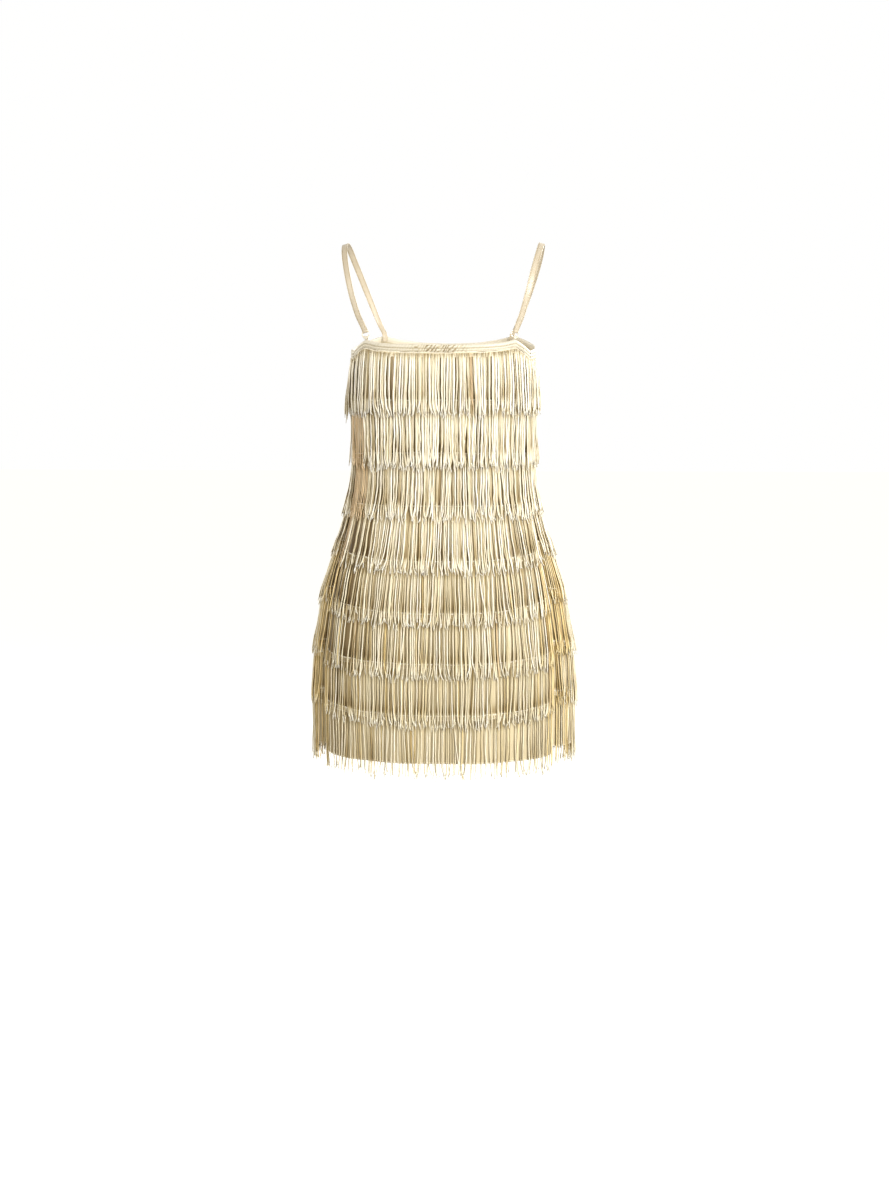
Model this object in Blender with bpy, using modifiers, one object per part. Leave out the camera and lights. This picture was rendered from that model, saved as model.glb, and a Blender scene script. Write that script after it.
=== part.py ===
"""Sleeveless fringe dress on two narrow straps, in the hollow form it has when it is worn.

Metres, +Z up. The wearer faces -Y and +X is the wearer's left. The origin is midway between the tops of the
two shoulder straps, where the wearer holds the dress up. Two panels meet at side seams that sit behind the
sides; eight rows of fringe trim are sewn round, each caught in the side seams, so back and front rows differ.
"""

import math
from collections import namedtuple

import bmesh
import bpy
import numpy as np
from mathutils import Vector

MM = 0.001

GAP = 0.3 * MM  # between pieces that touch
CLOTH = 1.0 * MM  # wall of a panel
SEAM = 0.27 * MM  # from each panel's edge to the middle of the side seam
BINDING_SHORT = 0.4 * MM  # a binding's ends stop this much before its panel's, because its folded corners spread

BINDING_DEPTH = 9.7 * MM
BINDING_CLOTH = 0.9 * MM
TAPE_DEPTH = 8.5 * MM
TRIM_THICKNESS = 1.3 * MM
TRIM_LIFT_MIDDLE = 1.2 * MM  # how far a row's strands stand off the panel half way down
TRIM_LIFT_NEXT = 2.3 * MM  # where they pass over the next row's tape
TRIM_LIFT_TIP = 2.8 * MM

RING_RADIUS = 5.8 * MM
RING_WIRE = 0.9 * MM
RING_ABOVE_EDGE = 9.8 * MM
RING_TURN = math.radians(19)  # how far outwards each ring faces from straight back
LOOP_ROOM = 0.7 * MM  # between the wire and the ribbons that turn round it
STRAP_WIDTH = 9.5 * MM
STRAP_WIDTH_AT_RING = 8.0 * MM
STRAP_CLOTH = 1.0 * MM
STRAP_INSET = 0.9 * MM  # more room behind the front binding, which curves in past the flat strap's edges
TAB_WIDTH = 5.2 * MM
TAB_CLOTH = 0.6 * MM
TAB_INSET = 1.5 * MM  # room behind the back binding, which the tab's edges meet at an angle

SQUARENESS = 2.5  # exponent of the panels' oval sections: 2 is an ellipse
HOLLOW_WIDTH = 14 * MM  # the side seam's soft hollow fades out over about twice this on each side

# Sections of the cloth, in mm and degrees: height, half width, depth of the front and of the back, how far
# round from centre back the side seam lies, and how deep its stitching draws the cloth in.
Section = namedtuple("Section", "z half_width front back seam hollow")
SECTIONS = [
    Section(-120, 139, 106, 90, 70, 0),
    Section(-165, 141, 115, 95, 70, 0),
    Section(-230, 142, 120, 96, 71, 0),
    Section(-290, 138, 113, 91, 72, 0.5),
    Section(-350, 139, 107, 89, 71, 1),
    Section(-400, 146, 106, 96, 69, 1.5),
    Section(-460, 163, 110, 111, 65, 2.5),
    Section(-520, 182, 116, 125, 62, 3.5),
    Section(-580, 192, 120, 133, 61, 4),
    Section(-640, 199, 123, 137, 60, 4.5),
    Section(-700, 201, 125, 138, 59, 5),
    Section(-760, 199, 126, 138, 59, 5),
    Section(-830, 197, 126, 138, 59, 5),
]

# Height of the top edge, in mm, by the share of the way from a panel's centre to its side seam.
EdgePoint = namedtuple("EdgePoint", "share z")
BACK_EDGE = [
    EdgePoint(0, -157),
    EdgePoint(0.36, -155.5),
    EdgePoint(0.54, -153.5),
    EdgePoint(0.72, -149),
    EdgePoint(0.86, -157),
    EdgePoint(1, -166),
]
FRONT_EDGE = [
    EdgePoint(0, -153),
    EdgePoint(0.13, -151.5),
    EdgePoint(0.26, -147),
    EdgePoint(0.39, -141),
    EdgePoint(0.61, -153),
    EdgePoint(0.82, -162),
    EdgePoint(1, -166),
]

# Rows of trim below the first, which follows the top edge, and the hem: the height of each line in mm at the
# panels' centres and at the side seams.
Line = namedtuple("Line", "back_centre back_side front_side front_centre")
ROWS = [
    Line(-238, -238, -235, -231),
    Line(-318, -320, -315, -311),
    Line(-398, -396, -390, -391),
    Line(-481, -466, -453, -465),
    Line(-559, -537, -523, -538),
    Line(-635, -618, -604, -614),
    Line(-713, -693, -679, -690),
]
HEM = Line(-787, -777, -766, -774)
REACH = [21, 22, 20, 17, 18, 20, 16, 18]  # mm that each row's strands hang past the next line

# Columns of each panel, as shares of the way from its centre to its side seam.
BACK_COLUMNS = [0, 0.18, 0.36, 0.54, 0.72, 0.86, 1]
FRONT_COLUMNS = [0, 0.13, 0.26, 0.39, 0.5, 0.61, 0.72, 0.82, 0.91, 1]
RING_SHARE = 0.72
FRONT_STRAP_SHARE = 0.39

# Middle of the left strap from above its ring, over the shoulder, to above the front binding, in mm.
RoutePoint = namedtuple("RoutePoint", "x y z")
STRAP_ROUTE = [
    RoutePoint(125.5, 73.5, -108),
    RoutePoint(134, 77.5, -78),
    RoutePoint(141.5, 70, -46),
    RoutePoint(147.5, 49, -20),
    RoutePoint(150.5, 25, -5),
    RoutePoint(151, 0, -0.5),
    RoutePoint(149.5, -25, -6),
    RoutePoint(145, -48, -23),
    RoutePoint(135.5, -70, -52),
    RoutePoint(123, -84, -87),
    RoutePoint(109, -90.5, -122),
]

Point = namedtuple("Point", "at out")  # a place on a panel's outer face, and the way out from it
Station = namedtuple("Station", "at across half_width")  # one section of a ribbon
Panel = namedtuple("Panel", "name columns edge centre side")
BACK = Panel("back", BACK_COLUMNS, BACK_EDGE, "back_centre", "back_side")
FRONT = Panel("front", FRONT_COLUMNS, FRONT_EDGE, "front_centre", "front_side")


def section_value(column, z):
    """A column of SECTIONS at this height, on a smooth curve through the table."""
    heights = [section.z * MM for section in SECTIONS]
    values = [getattr(section, column) for section in SECTIONS]
    slopes = np.gradient(values, heights)
    i = min(max(sum(z < height for height in heights) - 1, 0), len(heights) - 2)
    step = heights[i + 1] - heights[i]
    t = (z - heights[i]) / step
    return (
        (2 * t**3 - 3 * t**2 + 1) * values[i]
        + (t**3 - 2 * t**2 + t) * step * slopes[i]
        + (3 * t**2 - 2 * t**3) * values[i + 1]
        + (t**3 - t**2) * step * slopes[i + 1]
    )


def shares_round(panel):
    """The panel's column shares in the order that turns from +Y towards +X, negative on the wearer's right."""
    left = [share for share in panel.columns if share > 0]
    if panel is BACK:
        return [-share for share in reversed(left)] + [0] + left
    return list(reversed(left)) + [0] + [-share for share in left]


def cloth_point(panel, share, z):
    """The place on a panel's outer face at this share of its half and this height."""
    seam = math.radians(section_value("seam", z))
    reach = seam if panel is BACK else math.pi - seam
    from_back = abs(share) * reach if panel is BACK else math.pi - abs(share) * reach
    depth = section_value("back" if from_back < math.pi / 2 else "front", z) * MM
    half_width = section_value("half_width", z) * MM
    sine, cosine = math.sin(from_back), math.cos(from_back)
    x = half_width * sine ** (2 / SQUARENESS)
    y = depth * math.copysign(abs(cosine) ** (2 / SQUARENESS), cosine)
    slope = SQUARENESS - 1
    out = Vector((
        (x / half_width) ** slope / half_width,
        math.copysign((abs(y) / depth) ** slope / depth, y),
        0,
    )).normalized()
    from_seam = (1 - abs(share)) * reach * half_width
    hollow = section_value("hollow", z) * MM * math.exp(-((from_seam / HOLLOW_WIDTH) ** 2))
    at = Vector((x, y, z)) - out * hollow
    if abs(share) == 1:
        along = Vector((-out.y, out.x, 0))
        at += along * (SEAM if panel is BACK else -SEAM)
    if share < 0:
        at.x, out.x = -at.x, -out.x
    return Point(at, out)


def line_height(panel, line, share):
    """A row's height: level at the panel's centre, and curving up or down towards the side seam."""
    centre, side = getattr(line, panel.centre), getattr(line, panel.side)
    return (centre + (side - centre) * share**2) * MM


def edge_height(panel, share):
    return np.interp(abs(share), [p.share for p in panel.edge], [p.z for p in panel.edge]) * MM


def blended(upper, lower, share):
    """The points between two rows of points, at this share of the way down."""
    return [
        Point(a.at.lerp(b.at, share), a.out.lerp(b.out, share).normalized())
        for a, b in zip(upper, lower)
    ]


def shortened(row, by):
    """The row with its two end places moved this far towards their neighbours."""
    for end, neighbour in ((0, 1), (-1, -2)):
        row[end] = row[end] + (row[neighbour] - row[end]).normalized() * by
    return row


def moved(row, outwards, up=0):
    return [point.at + point.out * outwards + Vector((0, 0, up)) for point in row]


def panel_rows(panel):
    """The rows of a panel's outer face: (edge, heads, feet, middles, hem), a list of points for each line.

    A trim's tape lies from its head to its foot, and its middle is half way to the next trim's head.
    """
    shares = shares_round(panel)
    edge_heights = [edge_height(panel, share) for share in shares]
    head_heights = [[z - BINDING_DEPTH - GAP for z in edge_heights]]
    head_heights += [[line_height(panel, line, share) for share in shares] for line in ROWS + [HEM]]

    def row(heights):
        return [cloth_point(panel, share, z) for share, z in zip(shares, heights)]

    heads = [row(heights) for heights in head_heights]
    feet = [row([z - TAPE_DEPTH for z in heights]) for heights in head_heights[:-1]]
    middles = [
        row([(a - TAPE_DEPTH + b) / 2 for a, b in zip(heights, below)])
        for heights, below in zip(head_heights, head_heights[1:])
    ]
    return row(edge_heights), heads[:-1], feet, middles, heads[-1]


def material(name, colour, roughness, metallic=0.0):
    found = bpy.data.materials.get(name)
    if found:
        return found
    made = bpy.data.materials.new(name)
    made.use_nodes = True
    shader = made.node_tree.nodes["Principled BSDF"]
    shader.inputs["Base Color"].default_value = (*colour, 1)
    shader.inputs["Roughness"].default_value = roughness
    shader.inputs["Metallic"].default_value = metallic
    return made


def panel_satin():
    return material("panel satin", (0.76, 0.64, 0.42), 0.42)


def binding_satin():
    return material("binding satin", (0.85, 0.76, 0.58), 0.4)


def fringe_yarn():
    return material("fringe yarn", (0.88, 0.80, 0.60), 0.38)


def strap_satin():
    return material("strap satin", (0.87, 0.76, 0.57), 0.36)


def ring_enamel():
    return material("ring enamel", (0.86, 0.80, 0.66), 0.25)


def wall(name, rows, thickness, offset, finish):
    """A cloth wall: a loft through rows of points that run from the top down, given its thickness.

    offset is 1 to thicken the outer side, -1 the inner side and 0 both.
    """
    mesh = bpy.data.meshes.new(name)
    shape = bmesh.new()
    lattice = [[shape.verts.new(place) for place in row] for row in rows]
    for upper, lower in zip(lattice, lattice[1:]):
        for i in range(len(upper) - 1):
            shape.faces.new((upper[i], lower[i], lower[i + 1], upper[i + 1])).smooth = True
    bmesh.ops.reverse_faces(shape, faces=shape.faces[:])
    shape.to_mesh(mesh)
    shape.free()
    obj = bpy.data.objects.new(name, mesh)
    parts.objects.link(obj)
    mesh.materials.append(finish)
    shell = obj.modifiers.new("Cloth thickness", "SOLIDIFY")
    shell.thickness = thickness
    shell.offset = offset
    shell.use_even_offset = True
    return obj


def make_panel(panel):
    edge, heads, feet, middles, hem = panel_rows(panel)
    lines = [edge]
    for tier in zip(heads, feet, middles):
        lines += tier
    lines.append(hem)
    rows = [moved(line, 0) for line in lines]
    wall(panel.name + "_panel", rows, CLOTH, -1, panel_satin())


def make_binding(panel):
    """A strip folded over the top edge: up its inner side, over the edge, and down its outer side."""
    edge, heads, *_ = panel_rows(panel)
    bottom = blended(edge, heads[0], BINDING_DEPTH / (BINDING_DEPTH + GAP))
    inside = -(CLOTH + GAP)
    rows = [
        moved(bottom, inside),
        moved(edge, inside, GAP),
        moved(edge, GAP, GAP),
        moved(bottom, GAP),
    ]
    rows = [shortened(row, BINDING_SHORT) for row in rows]
    wall(panel.name + "_binding", rows, BINDING_CLOTH, 1, binding_satin())


def make_trims(panel):
    """One solid a row: the tape against the panel, then the reach of the strands, which stand off further
    down, so that they pass over the tape and the strands of the next row."""
    _, heads, feet, middles, hem = panel_rows(panel)
    for i, (head, foot, middle) in enumerate(zip(heads, feet, middles)):
        reach = REACH[i] * MM
        if i + 1 < len(heads):
            next_line = heads[i + 1]
            below = feet[i + 1][0].at.z - middles[i + 1][0].at.z
            tip = blended(feet[i + 1], middles[i + 1], (reach - TAPE_DEPTH) / below)
        else:
            next_line = hem
            shares = shares_round(panel)
            tip = [cloth_point(panel, s, p.at.z - reach) for s, p in zip(shares, hem)]
        rows = [
            moved(head, GAP),
            moved(foot, GAP),
            moved(middle, TRIM_LIFT_MIDDLE),
            moved(next_line, TRIM_LIFT_NEXT),
            moved(tip, TRIM_LIFT_TIP),
        ]
        wall(f"fringe_{panel.name}_{i + 1}", rows, TRIM_THICKNESS, 1, fringe_yarn())


def ribbon(name, stations, thickness, finish):
    """A flat strip through its stations, each with a middle, a direction across and half a width."""
    rows = []
    for before, here, after in zip(stations[:1] + stations, stations, stations[1:] + stations[-1:]):
        along = (after.at - before.at).normalized()
        across = (here.across - along * here.across.dot(along)).normalized() * here.half_width
        rows.append([here.at - across, here.at + across])
    wall(name, rows, thickness, 0, finish)


def ring_frame():
    """The left ring's centre, the way it faces, and the place on the panel's top edge below it."""
    edge = cloth_point(BACK, RING_SHARE, edge_height(BACK, RING_SHARE))
    centre = edge.at - edge.out * (CLOTH / 2) + Vector((0, 0, RING_ABOVE_EDGE))
    return centre, Vector((math.sin(RING_TURN), math.cos(RING_TURN), 0)), edge


def strap_stations():
    """The left strap: up its inner ply from the ring, round the wire, over the shoulder, into the front."""
    centre, facing, _ = ring_frame()
    route = [Vector(point) * MM for point in STRAP_ROUTE]
    pull = route[0] - centre
    rise = (pull - facing * pull.dot(facing)).normalized()
    wire = centre + rise * RING_RADIUS
    up = (route[0] - wire).normalized()
    out = (facing - up * facing.dot(up)).normalized()
    across = up.cross(out)
    round_wire = RING_WIRE + LOOP_ROOM + STRAP_CLOTH / 2
    drop = RING_RADIUS - math.sqrt(RING_RADIUS**2 - (STRAP_WIDTH_AT_RING / 2) ** 2)
    half = STRAP_WIDTH_AT_RING / 2
    stations = [
        Station(wire + up * 13 * MM - out * 1.6 * MM, across, half),
        Station(wire + up * 4 * MM - out * 1.8 * MM, across, half),
    ]
    for degrees in (180, 225, 270, 315, 360):
        angle = math.radians(degrees)
        aside = facing * (math.cos(angle) * round_wire)
        below = rise * (math.sin(angle) * (round_wire + drop))
        stations.append(Station(wire + aside + below, across, half))
    stations.append(Station(wire + up * 4 * MM + out * 1.5 * MM, across, half))
    stations.append(Station(wire + up * 13 * MM + out * 0.4 * MM, across, STRAP_WIDTH / 2))

    front_edge = cloth_point(FRONT, FRONT_STRAP_SHARE, edge_height(FRONT, FRONT_STRAP_SHARE))
    behind = CLOTH + GAP + BINDING_CLOTH + GAP + STRAP_INSET + STRAP_CLOTH / 2
    front_across = front_edge.out.cross(Vector((0, 0, 1)))
    over_across = Vector((-1, 0, 0.3)).normalized()
    for i, place in enumerate(route):
        share = i / (len(route) - 1)
        if share < 0.5:
            turned = across.lerp(over_across, 2 * share)
        else:
            turned = over_across.lerp(front_across, 2 * share - 1)
        stations.append(Station(place, turned, STRAP_WIDTH / 2))
    inside = front_edge.at - front_edge.out * behind
    for height in (3 * MM, -8 * MM):
        stations.append(Station(inside + Vector((0, 0, height)), front_across, STRAP_WIDTH / 2))
    return stations


def tab_stations():
    """The left tab: up inside the back binding, over the ring's lower wire, and back down under it. It faces
    the way the ring does."""
    _, facing, edge = ring_frame()
    up = Vector((0, 0, 1))
    half = TAB_WIDTH / 2
    wire = RING_ABOVE_EDGE - RING_RADIUS
    rise = RING_RADIUS - math.sqrt(RING_RADIUS**2 - half**2)
    round_wire = RING_WIRE + LOOP_ROOM + TAB_CLOTH / 2
    near_ply = -(CLOTH / 2 + GAP + BINDING_CLOTH + GAP + TAB_INSET + TAB_CLOTH / 2)
    far_ply = near_ply - TAB_CLOTH - GAP
    profile = [(far_ply, -7 * MM), (far_ply, 1.5 * MM)]
    for degrees in (180, 135, 90, 45, 0, -45, -90):
        angle = math.radians(degrees)
        high = round_wire + (rise if degrees > 0 else 0)
        profile.append((math.cos(angle) * round_wire, wire + math.sin(angle) * high))
    profile += [(near_ply + 0.2 * MM, wire - round_wire - 0.1 * MM)]
    profile += [(near_ply, 0.8 * MM), (near_ply, -7 * MM)]
    middle = edge.at - edge.out * (CLOTH / 2)
    across = up.cross(facing)
    return [Station(middle + facing * aside + up * height, across, half) for aside, height in profile]


def mirrored(stations):
    """The same ribbon on the wearer's right, with its sides swapped so that it still faces out."""
    flip = Vector((-1, 1, 1))
    return [Station(s.at * flip, -(s.across * flip), s.half_width) for s in stations]


def make_ring(name, centre, out):
    bpy.ops.mesh.primitive_torus_add(
        major_radius=RING_RADIUS,
        minor_radius=RING_WIRE,
        major_segments=16,
        minor_segments=6,
        location=centre,
        rotation=out.to_track_quat("Z", "Y").to_euler(),
    )
    ring = bpy.context.object
    ring.name = name
    ring.data.materials.append(ring_enamel())
    for collection in list(ring.users_collection):
        collection.objects.unlink(ring)
    parts.objects.link(ring)
    ring.data.shade_smooth()


def make_straps():
    centre, facing, _ = ring_frame()
    flip = Vector((-1, 1, 1))
    make_ring("strap_ring_left", centre, facing)
    make_ring("strap_ring_right", centre * flip, facing * flip)
    ribbon("strap_left", strap_stations(), STRAP_CLOTH, strap_satin())
    ribbon("strap_right", mirrored(strap_stations()), STRAP_CLOTH, strap_satin())
    ribbon("ring_tab_left", tab_stations(), TAB_CLOTH, binding_satin())
    ribbon("ring_tab_right", mirrored(tab_stations()), TAB_CLOTH, binding_satin())


for old in list(bpy.data.objects):
    bpy.data.objects.remove(old, do_unlink=True)
parts = bpy.data.collections.new("flapper dress")
bpy.context.scene.collection.children.link(parts)

for half in (BACK, FRONT):
    make_panel(half)
    make_binding(half)
    make_trims(half)
make_straps()
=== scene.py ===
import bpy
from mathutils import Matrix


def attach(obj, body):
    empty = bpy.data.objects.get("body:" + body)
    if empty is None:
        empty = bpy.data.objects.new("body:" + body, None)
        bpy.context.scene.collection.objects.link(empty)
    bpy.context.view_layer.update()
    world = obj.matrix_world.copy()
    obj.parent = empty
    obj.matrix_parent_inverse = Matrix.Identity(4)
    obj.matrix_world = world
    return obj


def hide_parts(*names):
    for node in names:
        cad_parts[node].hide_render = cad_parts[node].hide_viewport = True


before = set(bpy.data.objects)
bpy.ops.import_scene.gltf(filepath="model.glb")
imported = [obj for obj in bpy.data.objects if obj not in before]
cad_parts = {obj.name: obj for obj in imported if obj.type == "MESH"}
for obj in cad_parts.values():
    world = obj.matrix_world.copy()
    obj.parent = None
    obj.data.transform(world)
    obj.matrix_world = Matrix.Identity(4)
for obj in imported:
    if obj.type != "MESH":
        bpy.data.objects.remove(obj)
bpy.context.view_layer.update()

import math
from collections import namedtuple
from types import SimpleNamespace

import bpy
import numpy as np
from mathutils import Vector


# ---- The studio -----------------------------------------------------------------------------------------
# The dress is seen from behind, a little from the wearer's right, with the lens at the height of the wearer's
# chest. It hangs where a wearer would hold it, over a pale floor in a pale surround. A large soft lamp stands
# high on the wearer's right, a weaker one on the left, and two more light the front.
VIEW_TURN = math.radians(5)
VIEW_DISTANCE = 4.0
LENS_HEIGHT = -0.20
AIM = Vector((-0.001, 0, -0.55))
LAMP_AIM = Vector((0, 0, -0.4))
FRAME_HEIGHT = 1.86  # what the view takes in at the dress, top to bottom
FLOOR_HEIGHT = -1.47

camera_data = bpy.data.cameras.new("camera")
camera_data.sensor_width = 36
camera_data.lens = camera_data.sensor_width * VIEW_DISTANCE / FRAME_HEIGHT
camera = bpy.data.objects.new("camera", camera_data)
bpy.context.scene.collection.objects.link(camera)
camera.location = (
    -VIEW_DISTANCE * math.sin(VIEW_TURN),
    VIEW_DISTANCE * math.cos(VIEW_TURN),
    LENS_HEIGHT,
)
camera.rotation_euler = (AIM - camera.location).to_track_quat("-Z", "Y").to_euler()
bpy.context.scene.camera = camera
bpy.context.scene.view_settings.view_transform = "Standard"

Lamp = namedtuple("Lamp", "name place size power colour")
LAMPS = [
    Lamp("key", (-2.3, 3.0, 0.6), 1.8, 190, (1.0, 0.995, 0.98)),
    Lamp("fill", (2.6, 3.0, 0.3), 2.4, 52, (1.0, 0.96, 0.9)),
    Lamp("front_key", (-2.4, -2.9, 1.2), 1.5, 235, (1.0, 0.99, 0.965)),
    Lamp("left_side", (3.2, -1.8, 0.5), 2.0, 85, (1.0, 0.98, 0.93)),
]
for lamp in LAMPS:
    lamp_data = bpy.data.lights.new(lamp.name, "AREA")
    lamp_data.size = lamp.size
    lamp_data.energy = lamp.power
    lamp_data.color = lamp.colour
    light = bpy.data.objects.new(lamp.name, lamp_data)
    bpy.context.scene.collection.objects.link(light)
    light.location = lamp.place
    light.rotation_euler = (LAMP_AIM - light.location).to_track_quat("-Z", "Y").to_euler()


class Value:
    """A number that varies over a surface. Arithmetic on it adds the Math nodes that work it out."""

    def __init__(self, finish, socket):
        self.finish = finish
        self.socket = socket

    def maths(self, operation, first, second):
        return self.finish.node("ShaderNodeMath", {"operation": operation}, {0: first, 1: second})

    def __add__(self, other):
        return self.maths("ADD", self, other)

    def __radd__(self, other):
        return self.maths("ADD", other, self)

    def __sub__(self, other):
        return self.maths("SUBTRACT", self, other)

    def __rsub__(self, other):
        return self.maths("SUBTRACT", other, self)

    def __mul__(self, other):
        return self.maths("MULTIPLY", self, other)

    def __rmul__(self, other):
        return self.maths("MULTIPLY", other, self)


class Finish:
    """A material: a Principled shader with the same value all over, but for what feed() gives it."""

    def __init__(self, name, **constants):
        self.material = bpy.data.materials.new(name)
        self.material.use_nodes = True
        self.nodes = self.material.node_tree.nodes
        self.shader = self.nodes["Principled BSDF"]
        for socket, value in constants.items():
            self.shader.inputs[socket.replace("_", " ")].default_value = value

    def node(self, kind, settings=None, inputs=None, output=0):
        """A node of this kind. Its settings come first, and then its sockets get their values or links."""
        made = self.nodes.new(kind)
        for setting, value in (settings or {}).items():
            if setting == "stops":
                ramp = made.color_ramp.elements
                while len(ramp) < len(value):
                    ramp.new(0.5)
                for element, (position, colour) in zip(ramp, value):
                    element.position = position
                    element.color = (*colour, 1)
            else:
                setattr(made, setting, value)
        for socket, value in (inputs or {}).items():
            if isinstance(value, Value):
                self.material.node_tree.links.new(value.socket, made.inputs[socket])
            else:
                made.inputs[socket].default_value = value
        return Value(self, made.outputs[output])

    def place(self, scale):
        """The place on the object, stretched by three factors."""
        place = self.node("ShaderNodeTexCoord", output="Object")
        return self.node("ShaderNodeMapping", inputs={"Vector": place, "Scale": scale})

    def noise(self, scale, detail=3.0, roughness=0.5, place=None):
        """Soft mottling from 0 to 1, with patches of 1 / scale metres."""
        at = place or self.node("ShaderNodeTexCoord", output="Object")
        return self.node(
            "ShaderNodeTexNoise",
            inputs={"Vector": at, "Scale": scale, "Detail": detail, "Roughness": roughness},
        )

    def attribute(self, name):
        return self.node("ShaderNodeAttribute", {"attribute_name": name}, output="Fac")

    def mix(self, share, first, second, blend="MIX"):
        """A colour this share of the way from one to another, or this share of another blend of the two."""
        both = {0: share, 6: first, 7: second}
        return self.node("ShaderNodeMix", {"data_type": "RGBA", "blend_type": blend}, both, output=2)

    def shaded(self, colour, factor):
        """The colour made darker or lighter by a factor."""
        grey = self.node("ShaderNodeCombineColor", inputs={0: factor, 1: factor, 2: factor})
        return self.mix(1.0, colour, grey, "MULTIPLY")

    def dimmed(self, colour, light):
        """The colour where only this share of the light reaches it: darker, and warmer."""
        stops = [
            (0.0, (0.14, 0.09, 0.03)),
            (0.35, (0.43, 0.35, 0.21)),
            (0.7, (0.81, 0.765, 0.64)),
            (1.0, (1, 1, 1)),
        ]
        warm = self.node("ShaderNodeValToRGB", {"stops": stops}, {"Fac": light})
        return self.mix(1.0, colour, warm, "MULTIPLY")

    def feed(self, socket, value):
        self.material.node_tree.links.new(value.socket, self.shader.inputs[socket])

    def bump(self, height, distance, strength=1.0):
        lit = {"Height": height, "Distance": distance, "Strength": strength}
        self.feed("Normal", self.node("ShaderNodeBump", inputs=lit))


def show_camera(tree, lighting, seen, output):
    """Makes the camera see one shader, while the other lights the dress."""
    ray = tree.nodes.new("ShaderNodeLightPath")
    either = tree.nodes.new("ShaderNodeMixShader")
    tree.links.new(ray.outputs["Is Camera Ray"], either.inputs[0])
    tree.links.new(lighting.outputs[0], either.inputs[1])
    tree.links.new(seen.outputs[0], either.inputs[2])
    tree.links.new(either.outputs[0], tree.nodes[output].inputs[0])


bpy.ops.mesh.primitive_plane_add(size=60, location=(0, 0, FLOOR_HEIGHT))
floor = bpy.context.object
floor.name = "floor"
floor_paint = Finish("floor paint", Roughness=0.9)
floor_mottle = floor_paint.noise(0.6)
floor_paint.feed("Base Color", floor_paint.mix(floor_mottle, (0.86, 0.86, 0.85, 1), (0.9, 0.9, 0.89, 1)))
floor_paint.shader.inputs["Emission Color"].default_value = (1, 1, 0.995, 1)
floor_paint.shader.inputs["Emission Strength"].default_value = 0.74
floor_dull = floor_paint.nodes.new("ShaderNodeBsdfDiffuse")
floor_dull.inputs["Color"].default_value = (0.35, 0.35, 0.34, 1)
show_camera(floor_paint.material.node_tree, floor_dull, floor_paint.shader, "Material Output")
floor.data.materials.append(floor_paint.material)

surround = bpy.data.worlds.new("surround")
surround.use_nodes = True
bpy.context.scene.world = surround
surround_nodes = surround.node_tree.nodes
surround_light = surround_nodes["Background"]
surround_light.inputs["Color"].default_value = (1.0, 0.91, 0.73, 1)
surround_light.inputs["Strength"].default_value = 0.36
surround_seen = surround_nodes.new("ShaderNodeBackground")
surround_seen.inputs["Color"].default_value = (1, 1, 0.995, 1)
show_camera(surround.node_tree, surround_light, surround_seen, "World Output")


# ---- The two panels of cloth ------------------------------------------------------------------------------
# Back and front are cut from a thin satin and sewn together behind the sides. Each is a flat net laid out as
# the cloth is cut, wrapped round the form that the dress takes when it is worn, and creased.
MM = 0.001
SQUARENESS = 2.5  # exponent of the oval sections: 2 is an ellipse
OVAL_DEPTH = 0.66  # a usual depth of them, as a share of the half width
HOLLOW_WIDTH = 14 * MM
SEAM_HALF = 0.27 * MM  # half the room between the panels at a seam
CLOTH = 1.0 * MM
HEM_ROLL = 0.55 * MM  # how far the rolled hem stands out from each face of the cloth
HEM_ROLL_DEPTH = 2.4 * MM
HEM_SHARES = np.linspace(-0.998, 0.998, 420)
PANEL_COLUMNS, PANEL_ROWS = 93, 96

# Heights, half widths, depths and hollows in mm, and how far round from centre back the seam lies in degrees.
Section = namedtuple("Section", "z half_width front back seam hollow")
SECTIONS = [
    Section(-120, 139, 106, 90, 70, 0),
    Section(-165, 141, 115, 95, 70, 0),
    Section(-230, 142, 120, 96, 71, 0),
    Section(-290, 138, 113, 91, 72, 0.5),
    Section(-350, 139, 107, 89, 71, 1),
    Section(-400, 146, 106, 96, 69, 1.5),
    Section(-460, 163, 110, 111, 65, 2.5),
    Section(-520, 182, 116, 125, 62, 3.5),
    Section(-580, 192, 120, 133, 61, 4),
    Section(-640, 199, 123, 137, 60, 4.5),
    Section(-700, 201, 125, 138, 59, 5),
    Section(-760, 199, 126, 138, 59, 5),
    Section(-830, 197, 126, 138, 59, 5),
]
# Height of the top edge in mm, by the share of the way from a panel's centre to its seam.
BACK_EDGE = [(0, -157), (0.36, -155.5), (0.54, -153.5), (0.72, -149), (0.86, -157), (1, -166)]
FRONT_EDGE = [(0, -153), (0.13, -151.5), (0.26, -147), (0.39, -141), (0.61, -153), (0.82, -162), (1, -166)]
# Each row of trim below the first, then the hem: heights in mm at the panels' centres and at the seams.
Line = namedtuple("Line", "back_centre back_side front_side front_centre")
ROWS = [
    Line(-238, -238, -235, -231),
    Line(-318, -320, -315, -311),
    Line(-398, -396, -390, -391),
    Line(-481, -466, -453, -465),
    Line(-559, -537, -523, -538),
    Line(-635, -618, -604, -614),
    Line(-713, -693, -679, -690),
]
HEM = Line(-787, -777, -766, -774)
Panel = namedtuple("Panel", "name edge centre side")
BACK = Panel("back", BACK_EDGE, "back_centre", "back_side")
FRONT = Panel("front", FRONT_EDGE, "front_centre", "front_side")

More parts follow.
